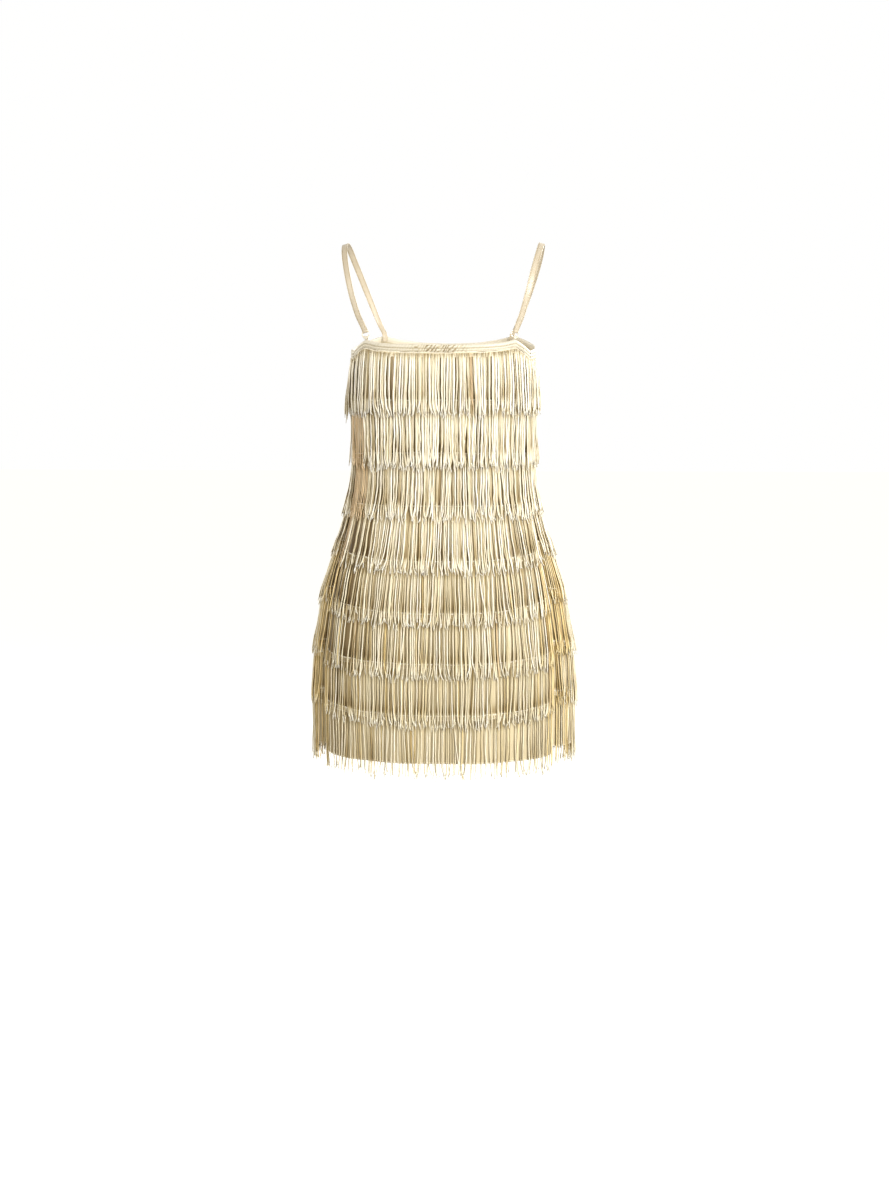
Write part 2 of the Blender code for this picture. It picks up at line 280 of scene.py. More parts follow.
# Creases and folds in mm: where each starts and ends, as the way round from the panel's centre (towards the
# wearer's left) and the height, its width, and how far it stands out (ridge) or goes in (trough).
Crease = namedtuple("Crease", "panel from_x from_z to_x to_z width lift")
CREASES = [
    Crease("back", 40, -640, 58, -800, 26, 2.6),
    Crease("back", 84, -600, 96, -800, 20, -2.2),
    Crease("back", 128, -690, 88, -772, 9, 1.5),
    Crease("back", 150, -715, 112, -780, 8, -1.3),
    Crease("back", 132, -560, 142, -800, 24, 2.2),
    Crease("back", 0, -600, -8, -800, 24, -1.8),
    Crease("back", -52, -580, -60, -800, 28, 2.4),
    Crease("back", -106, -640, -112, -800, 22, -2.2),
    Crease("back", -150, -560, -158, -800, 22, 1.8),
    Crease("back", 30, -300, 70, -345, 16, 1.4),
    Crease("back", -20, -330, -84, -372, 18, 1.3),
    Crease("back", 62, -392, 104, -372, 14, -1.2),
    Crease("back", -64, -402, -112, -384, 14, -1.3),
    Crease("back", 10, -182, 22, -236, 12, -0.9),
    Crease("back", -34, -176, -30, -250, 13, 1.0),
    Crease("front", 44, -620, 60, -800, 26, 2.4),
    Crease("front", -30, -600, -36, -800, 28, -2.0),
    Crease("front", -92, -640, -104, -800, 24, 2.4),
    Crease("front", 108, -600, 122, -800, 24, -2.2),
    Crease("front", 178, -560, 190, -800, 26, 2.0),
    Crease("front", -166, -600, -176, -800, 26, -2.0),
    Crease("front", 120, -262, 176, -322, 16, 1.4),
    Crease("front", -116, -262, -170, -330, 15, 1.4),
    Crease("front", 52, -352, 130, -384, 16, -1.2),
    Crease("front", -40, -362, -124, -390, 17, 1.2),
    Crease("front", 0, -258, 4, -330, 22, -1.5),
]

# Where the dress hangs in a fold's shade, by panel and row of fringe: from one share of the way to the seam
# to another, and how much of the light is lost there.
Shade = namedtuple("Shade", "panel row start end loss")
SHADES = [
    Shade("back", 0, 0.62, 1.1, 0.32),
    Shade("back", 0, -0.9, -0.25, 0.05),
    Shade("back", 1, -0.9, -0.25, 0.05),
    Shade("back", 1, 0.4, 0.75, 0.2),
    Shade("back", 2, 0.35, 0.7, 0.2),
    Shade("back", 3, 0.45, 1.1, 0.42),
    Shade("back", 3, -0.12, 0.14, 0.1),
    Shade("back", 4, 0.45, 1.1, 0.36),
    Shade("back", 5, 0.45, 1.1, 0.34),
    Shade("back", 6, 0.5, 1.1, 0.2),
    Shade("back", 7, 0.5, 1.1, 0.15),
    Shade("front", 3, 0.5, 1.1, 0.25),
    Shade("front", 4, -1.1, -0.6, 0.2),
]
# Where cords have parted and the cloth shows, by panel and row: from one share of the way to the seam to
# another. Only thin dull strands are left there, tinted tan, which is partly their colour and partly painted
# shade.
Parting = namedtuple("Parting", "panel row start end")
PARTINGS = [
    Parting("back", 1, 0.73, 1.0),
    Parting("back", 2, 0.66, 1.0),
    Parting("back", 3, 0.86, 0.97),
    Parting("back", 0, -0.235, -0.215),
    Parting("back", 0, 0.335, 0.355),
    Parting("front", 1, 0.9, 1.0),
    Parting("front", 2, -0.62, -0.58),
    Parting("front", 3, 0.43, 0.47),
]


def parted_at(panel, row, share):
    """Whether the cords have parted at these shares of a row."""
    found = np.zeros(np.shape(share), bool)
    for parting in PARTINGS:
        if parting.panel == panel.name and parting.row == row:
            found |= (share > parting.start) & (share < parting.end)
    return found


def shade_loss(panel, row, share):
    """How much of the light is lost in the folds at these shares of a row."""
    lost = np.zeros(np.shape(share))
    for spot in SHADES:
        if spot.panel == panel.name and spot.row == row:
            inside = np.clip(np.minimum(share - spot.start, spot.end - share) / 0.2, 0, 1)
            lost = np.maximum(lost, spot.loss * inside)
    return lost


def section_value(column, z):
    """A column of SECTIONS at these heights, on a smooth curve through the table, in mm or degrees."""
    heights = np.array([section.z for section in SECTIONS]) * MM
    values = np.array([getattr(section, column) for section in SECTIONS], float)
    slopes = np.gradient(values, heights)
    i = np.clip(np.searchsorted(-heights, -z, side="right") - 1, 0, len(heights) - 2)
    step = heights[i + 1] - heights[i]
    t = (z - heights[i]) / step
    return (
        (2 * t**3 - 3 * t**2 + 1) * values[i]
        + (t**3 - 2 * t**2 + t) * step * slopes[i]
        + (3 * t**2 - 2 * t**3) * values[i + 1]
        + (t**3 - t**2) * step * slopes[i + 1]
    )


def unit(vectors):
    """The vectors at length 1."""
    return vectors / np.maximum(np.linalg.norm(vectors, axis=-1, keepdims=True), 1e-12)


# How far round an oval lies each turn from centre back, in half widths, for measuring where creases run.
oval_turns = np.linspace(0, math.pi, 721)
oval_x = np.sin(oval_turns) ** (2 / SQUARENESS)
oval_y = OVAL_DEPTH * np.sign(np.cos(oval_turns)) * np.abs(np.cos(oval_turns)) ** (2 / SQUARENESS)
oval_way = np.concatenate([[0], np.cumsum(np.hypot(np.diff(oval_x), np.diff(oval_y)))])


def crease_lift(turn, sign, z, half_width):
    """How far the creases lift the cloth. Each is a soft ridge or trough that fades in from its start."""
    way = np.interp(turn, oval_turns, oval_way) * half_width * sign
    way_front = (oval_way[-1] - np.interp(turn, oval_turns, oval_way)) * half_width * sign
    lift = np.zeros_like(z)
    for crease in CREASES:
        here = way if crease.panel == "back" else way_front
        run = np.array([crease.to_x - crease.from_x, crease.to_z - crease.from_z]) * MM
        dx = here - crease.from_x * MM
        dz = z - crease.from_z * MM
        along = np.clip((dx * run[0] + dz * run[1]) / (run @ run), 0, 1)
        aside = np.hypot(dx - along * run[0], dz - along * run[1])
        fade = 1 - (1 - np.clip(along * 3, 0, 1)) ** 2
        lift += crease.lift * MM * fade * np.exp(-((aside / (crease.width * MM)) ** 2))
    return lift


def cloth_at(panel, share, z, creased=True):
    """Places on the cloth's outer face and the ways out from it. share runs from -1 at one seam of the panel
    to 1 at the other, and a little past 1 it is on the other panel."""
    share, z = np.broadcast_arrays(np.asarray(share, float), np.asarray(z, float))
    seam = np.radians(section_value("seam", z))
    reach = seam if panel is BACK else math.pi - seam
    turn = np.abs(share) * reach if panel is BACK else math.pi - np.abs(share) * reach
    depth = np.where(turn < math.pi / 2, section_value("back", z), section_value("front", z)) * MM
    half_width = section_value("half_width", z) * MM
    sine, cosine = np.sin(turn), np.cos(turn)
    sign = np.where(share < 0, -1.0, 1.0)
    x = half_width * np.abs(sine) ** (2 / SQUARENESS)
    y = depth * np.sign(cosine) * np.abs(cosine) ** (2 / SQUARENESS)
    slope = SQUARENESS - 1
    out_x = (x / half_width) ** slope / half_width
    out_y = np.sign(y) * (np.abs(y) / depth) ** slope / depth
    out = unit(np.stack([out_x * sign, out_y, np.zeros_like(z)], axis=-1))
    from_seam = (turn - seam) * half_width
    inward = section_value("hollow", z) * MM * np.exp(-((from_seam / HOLLOW_WIDTH) ** 2))
    if creased:
        inward = inward - crease_lift(turn, sign, z, half_width)
    at = np.stack([x * sign, y, z], axis=-1) - out * inward[..., None]
    return at, out


def line_height(panel, line, share):
    """A line's height: it curves from the panel's centre to the seams."""
    centre, side = getattr(line, panel.centre), getattr(line, panel.side)
    return (centre + (side - centre) * share**2) * MM


def edge_height(panel, share):
    """The top edge: through the table's points, with the corners eased."""
    shares, heights = zip(*panel.edge)
    eased = [np.interp(np.abs(share) + by, shares, heights) for by in (-0.02, 0, 0.02)]
    return sum(eased) / len(eased) * MM


def net(rows, columns):
    """The squares of a net of points, row by row."""
    point = np.arange(rows * columns).reshape(rows, columns)
    corners = [point[:-1, :-1], point[1:, :-1], point[1:, 1:], point[:-1, 1:]]
    return np.stack(corners, axis=-1).reshape(-1, 4)


def tubes(path, out, wide, thick, turned, sides):
    """Many tubes at once. path is a point for each tube and ring, out the way out from the cloth there, wide
    and thick half its section, and turned how far the section has twisted. Returns places and faces."""
    along = unit(np.gradient(path, axis=1))
    out = unit(out - along * (out * along).sum(-1, keepdims=True))
    across = np.cross(out, along)
    cosine, sine = np.cos(turned)[..., None], np.sin(turned)[..., None]
    across, out = across * cosine + out * sine, out * cosine - across * sine
    angle = 2 * math.pi * np.arange(sides) / sides
    around = across[..., None, :] * (wide[..., None] * np.cos(angle))[..., None]
    around = around + out[..., None, :] * (thick[..., None] * np.sin(angle))[..., None]
    places = path[..., None, :] + around
    point = np.arange(places[..., 0].size).reshape(places.shape[:3])
    after = np.roll(point, -1, axis=2)
    corners = [point[:, :-1], after[:, :-1], after[:, 1:], point[:, 1:]]
    walls = np.stack(corners, axis=-1).reshape(-1, 4)
    ends = np.concatenate([point[:, 0, ::-1], point[:, -1]])
    return places, walls, ends


def with_tubes(places, faces, made):
    """A mesh's places and faces, with a set of tubes added."""
    tube_places, walls, ends = made
    first = len(places)
    faces = faces + (walls + first).tolist() + (ends + first).tolist()
    return np.concatenate([places, tube_places.reshape(-1, 3)]), faces


def new_piece(name, places, faces, finish):
    """An object made of these places and faces, shaded smooth."""
    mesh = bpy.data.meshes.new(name)
    mesh.from_pydata(places.reshape(-1, 3).tolist(), [], [list(face) for face in faces])
    mesh.materials.append(finish.material)
    mesh.shade_smooth()
    piece = bpy.data.objects.new(name, mesh)
    bpy.context.scene.collection.objects.link(piece)
    return piece


def mark(piece, name, values):
    """Gives each point of a piece a number that its material reads. Points past the last value get 1."""
    padded = np.ones(len(piece.data.vertices), np.float32)
    padded[: np.size(values)] = np.ravel(values)
    piece.data.attributes.new(name, "FLOAT", "POINT").data.foreach_set("value", padded)


def apply_modifiers(piece):
    """Makes a piece's modifiers part of its mesh."""
    bpy.ops.object.select_all(action="DESELECT")
    piece.select_set(True)
    bpy.context.view_layer.objects.active = piece
    for modifier in list(piece.modifiers):
        bpy.ops.object.modifier_apply(modifier=modifier.name)


satin = Finish(
    "panel satin", Roughness=0.42, Sheen_Weight=0.25, Sheen_Roughness=0.4, Anisotropic=0.3
)
satin_threads = satin.noise(1.0, 2.0, 0.6, satin.place((1900, 1900, 420)))
satin_patches = satin.noise(17.0, 4.0, 0.55)
satin_colour = satin.mix(satin_patches, (0.76, 0.67, 0.49, 1), (0.85, 0.775, 0.60, 1))
satin_deep = satin.dimmed(satin_colour, satin.attribute("shade"))
satin.feed("Base Color", satin.shaded(satin_deep, 0.9 + 0.2 * satin_threads))
satin.feed("Roughness", 0.34 + 0.2 * satin_patches)
satin.bump(satin_threads, 0.12 * MM, 0.5)

# How much light reaches the cloth, by the height in mm. The finer cords of the skirt let more through.
CLOTH_LIGHT = [(-700, 0.7), (-560, 0.55), (-440, 0.42), (-360, 0.36)]
PARTED_LIGHT = 0.85
PARTED_FALL = 70 * MM  # how far up from the next tape the cloth shows where cords have parted
ROW_FALL = 90 * MM
FOLD_SHARE = 1.8  # how much more light the cloth loses in a fold than the cords do
TAPE_SHADOW = 14 * MM
HEM_SIDES = 10


def cloth_light(panel, shares, z):
    """The light on the cloth's outer face. Little reaches it, and least just above each tape."""
    heights, lights = np.array(CLOTH_LIGHT).T
    light = np.interp(z, heights * MM, lights)
    for row, line in enumerate(ROWS + [HEM]):
        above = z - line_height(panel, line, shares)
        folded = 1 - FOLD_SHARE * shade_loss(panel, row, shares)
        light = light * np.where((above > 0) & (above < ROW_FALL), folded, 1)
        bare = parted_at(panel, row, shares) & (above > 0) & (above < PARTED_FALL)
        light = np.where(bare, PARTED_LIGHT, light)
        if line is not HEM:
            shadow = np.exp(-((np.maximum(above - 1 * MM, 0) / TAPE_SHADOW) ** 2))
            light = light * (1 - 0.6 * shadow * (above > 0))
    return light


for panel in (BACK, FRONT):
    spread = np.linspace(-1, 1, PANEL_COLUMNS) * math.pi / 2 * 0.8
    shares = np.sin(spread) / math.sin(spread[-1])  # columns crowd together towards the seams
    top = edge_height(panel, shares)
    foot = line_height(panel, HEM, shares)
    down = 1 - (1 - np.linspace(0, 1, PANEL_ROWS)) ** 1.25  # rows crowd together towards the rolled hem
    z = top + (foot - top) * down[:, None]
    at, out = cloth_at(panel, shares, z)
    along = np.stack([-out[..., 1], out[..., 0], np.zeros_like(z)], axis=-1)
    seam_gap = SEAM_HALF if panel is BACK else -SEAM_HALF
    at[:, 0] -= along[:, 0] * seam_gap
    at[:, -1] += along[:, -1] * seam_gap
    faces = net(PANEL_ROWS, PANEL_COLUMNS)
    piece = new_piece(panel.name + "_panel_cloth", at, faces[:, ::-1] if panel is BACK else faces, satin)
    shell = piece.modifiers.new("cloth", "SOLIDIFY")
    shell.thickness = CLOTH
    shell.offset = -1
    apply_modifiers(piece)
    mark(piece, "shade", cloth_light(panel, shares, z))

    at, out = cloth_at(panel, HEM_SHARES, line_height(panel, HEM, HEM_SHARES) + HEM_ROLL_DEPTH / 2)
    swell = 1 + 0.1 * np.sin(HEM_SHARES * 190) + 0.06 * np.sin(HEM_SHARES * 71)
    places, walls, ends = tubes(
        (at - out * CLOTH / 2)[None],
        out[None],
        HEM_ROLL_DEPTH / 2 * swell[None],
        (CLOTH / 2 + HEM_ROLL) * swell[None],
        np.zeros((1, len(HEM_SHARES))),
        HEM_SIDES,
    )
    hem = new_piece(panel.name + "_hem_roll", places, walls.tolist() + ends.tolist(), satin)
    mark(hem, "shade", [])
    for made in (piece, hem):
        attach(made, "root")
        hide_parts(panel.name + "_panel")


# ---- The fringe -------------------------------------------------------------------------------------------
# Eight rows of rayon fringe trim are sewn round each panel, the first just under the binding. A trim is a
# narrow knitted tape, stitched down along both its edges, with soft flattened cords knotted into it, which
# hang over the next row's tape. They get finer towards the hem, and sparser in the last two rows.
BINDING_DEPTH = 9.7 * MM
GAP = 0.3 * MM
TAPE_RIB = 0.2 * MM
TAPE_STEP = 1.3 * MM
STITCH_LENGTH = 2.9 * MM
STITCH_THICK = 0.6 * MM
STITCH_SIDES = 4
STITCH_LINES = [(1.0, 1.42), (7.2, 1.38)]  # below the tape's upper edge and out from the cloth, in mm
CORD_SIDES = 6
CORD_RINGS = 13
CORD_START = 2.2 * MM  # below the tape's upper edge
CORD_DOWN = np.linspace(0, 1, CORD_RINGS)[None] ** 0.92  # how far down a cord its rings lie
TAIL_SIDES = 3
TAIL_RINGS = 3
PLAIT = 1.6 * MM
# The tape's section, once round: how far below its top and out from the cloth, in mm, and the light there.
TAPE_SECTION = [
    (0.1, 0.32, 0.5),
    (0.0, 0.75, 0.85),
    (0.7, 1.3, 0.95),
    (2.2, 1.05, 0.66),
    (4.2, 1.25, 0.74),
    (6.2, 1.05, 0.62),
    (7.8, 1.3, 0.74),
    (8.5, 0.8, 0.5),
    (8.4, 0.32, 0.4),
]
DRAPE_SHARE = 0.7  # how much of a plumb line's distance from the cloth the cords take where it falls back
DRAPE_MOST = 9 * MM
# How far a cord's middle stands out from the cloth in mm, by the share of the way down to the next tape.
CORD_STAND = [(0, 1.3), (0.06, 1.4), (0.2, 1.3), (0.8, 1.8), (1.0, 2.8), (1.12, 2.9), (1.4, 2.7)]
# The light on a cord's section, by how far it faces out: from -1, towards the cloth, to 1.
LIGHT_ROUND = [(-1, 0.22), (-0.5, 0.28), (0.0, 0.5), (0.5, 0.96), (1, 1.0)]
# Shares of the cords: lost at random, lost in a fold, left where they have parted, cut short, and strayed.
LOST = 0.015
LOST_IN_FOLD = 0.9
LEFT_IN_PARTING = 0.92
CUT_SHORT = 0.05
STRAYED = 0.03
CLUMP_SIZES = [2, 2, 2, 3, 3, 3, 4]  # how many cords pull together
LEAN_LIMIT = 1.012  # how far past a seam a cord may lean, as a share of the way to it
# The row above throws its shadow on the cords: how far past its tips in mm, and the light left there.
HEAD_SHADOW = [(-8, 0.55), (1, 0.6), (7, 0.9), (14, 1.0)]

# For each row: the cords' spacing, width, thickness and reach past the next line in mm, how strongly they
# clump, how far their colour leans from ivory (0) to straw (0.62), gold (0.85) and tan (1), how many have
# sunk between their neighbours, and how crinkled they are.
Row = namedtuple("Row", "pitch width thick reach clump straw sunken crinkle")
TRIMS = [
    Row(2.55, 3.05, 1.8, 21, 0.16, 0.08, 0.14, 1.2),
    Row(2.4, 2.9, 1.8, 22, 0.18, 0.12, 0.18, 1.9),
    Row(2.3, 2.75, 1.75, 20, 0.2, 0.17, 0.2, 2.0),
    Row(2.25, 2.6, 1.65, 17, 0.22, 0.24, 0.22, 1.7),
    Row(2.3, 2.25, 1.5, 18, 0.28, 0.34, 0.28, 1.3),
    Row(2.35, 2.1, 1.4, 20, 0.32, 0.42, 0.32, 1.1),
    Row(2.6, 2.0, 1.3, 16, 0.36, 0.45, 0.3, 1.0),
    Row(3.3, 1.9, 1.2, 18, 0.32, 0.42, 0.14, 1.0),
]
# The long soft sway of neighbouring cords: its lengths round the body in mm, and how far each moves them.
Wave = namedtuple("Wave", "length sway drift")
WAVES = [Wave(13, 0.14, 0.8), Wave(21, 0.28, 1.0), Wave(37, 0.6, 0.7), Wave(64, 1.2, 0.5)]
# Where cords swing clear of the body: how many of those in the stretch, how far their tips stand out and
# how much longer they are, in mm.
Swing = namedtuple("Swing", "panel row start end amount out longer")
SWINGS = [Swing("front", 0, 0.84, 0.9, 0.9, 9, 8)]
for row in range(len(TRIMS)):
    SWINGS.append(Swing("front", row, -1.0, -0.68, 0.22, 4, 2))
    SWINGS.append(Swing("front", row, 0.68, 1.0, 0.22, 4, 2))
    SWINGS.append(Swing("back", row, -1, 1, 0.05, 2.5, 0))
# Near the side seams of the skirt most cords are painted gold, as painted shade for the hollow along the
# seam, from this share of the way on and from this row on.
SEAM_SHADE_SHARE = 0.88
SEAM_SHADE_ROW = 4
SEAM_SHADE_CORDS = 0.75  # how many of the cords there

yarn = Finish(
    "fringe yarn",
    Specular_IOR_Level=0.28,
    Sheen_Weight=0.06,
    Sheen_Roughness=0.4,
    Sheen_Tint=(1.0, 0.9, 0.7, 1),
)
yarn_tint = yarn.attribute("tint")
yarn_shade = yarn.attribute("shade")
yarn_along = yarn.noise(1.0, 3.0, 0.6, yarn.place((700, 700, 90)))
# The gold stop mostly colours cords in the painted shade by the side seams; tan colours strands in partings,
# partly painted shade.
yarn_colour = yarn.node(
    "ShaderNodeValToRGB",
    {
        "stops": [
            (0.0, (0.94, 0.915, 0.84)),
            (0.3, (0.915, 0.87, 0.74)),
            (0.62, (0.83, 0.76, 0.57)),
            (0.85, (0.90, 0.73, 0.38)),
            (1.0, (0.74, 0.56, 0.34)),
        ]
    },
    {"Fac": yarn_tint + 0.22 * yarn_along - 0.11},
)
yarn_deep = yarn.dimmed(yarn_colour, yarn_shade)
yarn.feed("Base Color", yarn.shaded(yarn_deep, 0.9 + 0.2 * yarn_along))
yarn.feed("Roughness", 0.34 + 0.16 * yarn_along)
yarn_map = yarn.node("ShaderNodeUVMap", {"uv_map": "yarn"})
yarn_plait = yarn.node(
    "ShaderNodeTexWave",
    {"bands_direction": "DIAGONAL"},
    {"Vector": yarn_map, "Scale": 1.0, "Distortion": 0.6, "Detail": 1.0},
)
yarn.bump(yarn_plait, 0.12 * MM, 0.45)

tape_yarn = Finish("fringe tape", Roughness=0.6, Sheen_Weight=0.35, Sheen_Roughness=0.5)
tape_knit = tape_yarn.noise(1.0, 3.0, 0.65, tape_yarn.place((900, 900, 600)))
tape_patches = tape_yarn.noise(60.0, 2.0)
tape_colour = tape_yarn.mix(tape_patches, (0.93, 0.88, 0.76, 1), (0.85, 0.77, 0.61, 1))
tape_colour = tape_yarn.dimmed(tape_colour, tape_yarn.attribute("shade"))
tape_yarn.feed("Base Color", tape_yarn.shaded(tape_colour, 0.86 + 0.28 * tape_knit))
tape_yarn.feed("Roughness", 0.5 + 0.2 * tape_knit)
tape_yarn.bump(tape_knit, 0.2 * MM, 0.6)


def swayed(waves, way, down, rng):
    """How far cords lean sideways: a sum of soft waves that grows towards their tips."""
    lean = np.zeros(np.broadcast(way, down).shape)
    for wave in waves:
        start, turn = rng.uniform(0, 2 * math.pi, 2)
        length = wave.length * MM * rng.uniform(0.85, 1.15)
        phase = 2 * math.pi * way / length + start + wave.drift * 2 * math.pi * down * np.sign(turn - math.pi)
        lean = lean + wave.sway * MM * np.sin(phase)
    return lean


def clumped(way, rng):
    """How far each cord is from the middle of its clump, and whether it lies on top there: 0 or 1."""
    sizes = rng.choice(CLUMP_SIZES, size=len(way))
    clump = np.repeat(np.arange(len(way)), sizes)[: len(way)]
    members = np.maximum(np.bincount(clump), 1)
    middle = np.bincount(clump, way) / members
    first = np.cumsum(members) - members
    place = np.arange(len(way)) - first[clump]
    on_top = (place + rng.integers(0, 2, len(members))[clump]) % 2
    return middle[clump] - way, on_top.astype(float)


def row_ways(panel, head):
    """A table of how far round a row's line each share lies, from the panel's centre, in metres."""
    shares = np.linspace(0, 1.08, 400)  # a cord at the seam may lean a little past it
    at, _ = cloth_at(panel, shares, head(shares), creased=False)
    steps = np.linalg.norm(np.diff(at, axis=0), axis=1)
    return shares, np.concatenate([[0], np.cumsum(steps)])


def share_of(way, table):
    """The shares that lie this far round a row's line."""
    shares, ways = table
    return np.sign(way) * np.interp(np.abs(way), ways, shares)


def head_line(panel, row):
    """A function of share that gives the height of a row's upper edge."""
    if row == 0:
        return lambda share: edge_height(panel, share) - BINDING_DEPTH - GAP
    return lambda share: line_height(panel, (ROWS + [HEM])[row - 1], share)


def make_tape(panel, row, table, half_way, rng):
    """The tape's ribbed section swept round the row's line, and the stitches that hold it down."""
    columns = int(2 * half_way / TAPE_STEP)
    way = np.linspace(-half_way + 0.4 * MM, half_way - 0.4 * MM, columns)
    share = share_of(way, table)
    rib = np.cos(2 * math.pi * np.arange(columns) / 4)
    wobble = swayed([Wave(26, 0.35, 0), Wave(61, 0.5, 0)], way, 0.0, rng)
    swell = swayed([Wave(11, 0.12, 0), Wave(19, 0.14, 0)], way, 0.0, rng)
    rings, light = [], []
    for depth, proud, lit in TAPE_SECTION:
        z = head_line(panel, row)(share) - depth * MM + wobble
        at, out = cloth_at(panel, share, z)
        raised = proud * MM + (swell + TAPE_RIB * rib) * (proud > 0.5)
        rings.append(at + out * raised[:, None])
        light.append(np.full(columns, lit))
    places = np.array(rings)  # ring, column, xyz
    point = np.arange(places[..., 0].size).reshape(places.shape[:2])
    below = np.roll(point, -1, axis=0)
    walls = np.stack([point[:, :-1], below[:, :-1], below[:, 1:], point[:, 1:]], axis=-1).reshape(-1, 4)
    ends = [point[:, 0].tolist(), point[::-1, -1].tolist()]
    if panel is FRONT:
        walls = walls[:, ::-1]
        ends = [end[::-1] for end in ends]
    places, faces = places.reshape(-1, 3), walls.tolist() + ends

    count = int(2 * half_way / STITCH_LENGTH)
    for depth, proud in STITCH_LINES:
        middle = (np.arange(count) + 0.5) * (2 * half_way / count) - half_way
        middle = middle + rng.uniform(-0.15, 0.15, count) * MM
        steps = np.linspace(-0.42, 0.42, 3) * STITCH_LENGTH
        way = middle[:, None] + steps
        share = share_of(np.clip(way, -half_way + 0.3 * MM, half_way - 0.3 * MM), table)
        bow = 1 - np.linspace(-1, 1, 3) ** 2
        z = head_line(panel, row)(share) - depth * MM + rng.normal(0, 0.12, (count, 1)) * MM
        z = z + np.interp(share, share_of(np.linspace(-half_way, half_way, columns), table), wobble)
        at, out = cloth_at(panel, share, z)
        path = at + out * ((proud - 0.45) * MM + 0.55 * MM * bow)[..., None]
        thick = np.full(path.shape[:2], STITCH_THICK) * np.array([0.6, 1, 0.6])
        made = tubes(path, out, thick, thick, np.zeros(path.shape[:2]), STITCH_SIDES)
        places, faces = with_tubes(places, faces, made)
    piece = new_piece(f"fringe_{panel.name}_{row + 1}_tape", places, faces, tape_yarn)
    mark(piece, "shade", light)
    return piece


def spread_cords(panel, row, trim, table, half_way, rng):
    """A row's cords: where each comes out of the tape, of which kind it is, and how far it falls."""
    pitch = trim.pitch * MM
    count = int((2 * half_way - 1.0 * MM) / pitch)
    way = (np.arange(count) - (count - 1) / 2) * pitch
    way = way + rng.normal(0, 0.14, count) * pitch
    share = share_of(way, table)
    keep = rng.uniform(size=count) > LOST + LOST_IN_FOLD * shade_loss(panel, row, share)
    parted = parted_at(panel, row, share)
    keep &= ~parted | (rng.uniform(size=count) < LEFT_IN_PARTING)
    way, share, parted = way[keep], share[keep], parted[keep][:, None]
    count = len(way)
    sunken = (rng.uniform(size=(count, 1)) < trim.sunken) & ~parted
    # Most cords by the side seams of the skirt get painted shade: a gold colour for the shadow in the hollow
    # along the seam.
    by_seam = (np.abs(share) > SEAM_SHADE_SHARE) & (row >= SEAM_SHADE_ROW)
    seam_shaded = by_seam & (rng.uniform(size=count) < SEAM_SHADE_CORDS)
    sunken &= ~seam_shaded[:, None]

    head = head_line(panel, row)(share)
    drop = head - head_line(panel, row + 1)(share)
    length = drop + trim.reach * MM + rng.normal(0, 2.0, count) * MM
    length = length + swayed([Wave(17, 0.9, 0), Wave(43, 1.2, 0)], way, 0.0, rng)
    short = rng.uniform(size=count) < CUT_SHORT
    length = np.where(short, length * rng.uniform(0.86, 0.97, count), length)
    swing = np.zeros(count)
    for spot in SWINGS:
        if spot.panel == panel.name and spot.row == row:
            loose = (share > spot.start) & (share < spot.end) & (rng.uniform(size=count) < spot.amount)
            swing = np.where(loose, spot.out * MM * rng.uniform(0.4, 1.0, count), swing)
            length = length + loose * spot.longer * MM
    return SimpleNamespace(
        count=count,
        way=way[:, None],
        parted=parted,
        sunken=sunken,
        seam_shaded=seam_shaded,
        shaded=shade_loss(panel, row, share)[:, None],
        head=head[:, None],
        length=length[:, None],
        fallen=length[:, None] * CORD_DOWN,
        to_tape=CORD_DOWN / (drop / length)[:, None],  # shares of the way down to the next tape
        swing=swing[:, None],
    )


def hang_cords(panel, trim, cords, table, half_way, rng):
    """Adds the cords' middle lines and the ways out from the cloth there. Cords sway together, pull into
    clumps, crinkle, and bend at their tips."""
    down = CORD_DOWN
    each = (cords.count, 1)
    lean = swayed(WAVES, cords.way, down, rng) * (0.16 + 0.84 * down**1.2)
    clump, on_top = clumped(cords.way[:, 0], rng)
    low_clump, _ = clumped(cords.way[:, 0], rng)
    pull = clump[:, None] * np.clip(down / 0.25, 0, 1) ** 0.8
    pull = pull + 0.5 * low_clump[:, None] * np.clip(down - 0.4, 0, 1)
    lean = lean + trim.clump * rng.uniform(0.6, 1.3, each) * pull
    own = rng.normal(0, 0.4, each) * MM * down
    wiggle_length = rng.uniform(20, 60, each) * MM
    cords.phase = rng.uniform(0, 2 * math.pi, each)
    wiggle = np.sin(2 * math.pi * cords.fallen / wiggle_length + cords.phase)
    wiggle = wiggle * rng.uniform(0.1, 0.45, each) * trim.crinkle * MM
    tip_bend = rng.normal(0, 1.8, each) * MM * np.clip((down - 0.8) / 0.2, 0, 1) ** 2
    strayed = np.where(rng.uniform(size=each) < STRAYED, rng.normal(0, 5, each), 0)
    place = cords.way + lean + own + wiggle * down + tip_bend + strayed * MM * down**2
    place = np.clip(place, -half_way * LEAN_LIMIT, half_way * LEAN_LIMIT)
    z = cords.head - CORD_START - (cords.length - CORD_START) * down
    at, out = cloth_at(panel, share_of(place, table), z)

    # A cord lies on the cloth where it widens below the row, and hangs clear where it falls back.
    reach_out = (at * out[:, :1]).sum(-1)
    clear = np.clip(np.maximum.accumulate(reach_out, axis=1) - reach_out, 0, DRAPE_MOST) * DRAPE_SHARE
    layer = 0.75 * on_top[:, None] + rng.uniform(0, 0.25, each)
    layer = np.where(cords.sunken | cords.parted, 0, layer)
    proud = np.interp(cords.to_tape, *zip(*CORD_STAND))
    proud = (proud + layer * np.clip(down * 4, 0, 1) * 2.0 + rng.normal(0, 0.1, each)) * MM
    stand = np.where(clear > proud, clear + layer * 1.5 * MM, proud)
    cords.path = at + out * (np.maximum(stand, proud) + cords.swing * down**1.5)[..., None]
    cords.out = out
    cords.layer = layer
    cords.on_top = on_top[:, None]


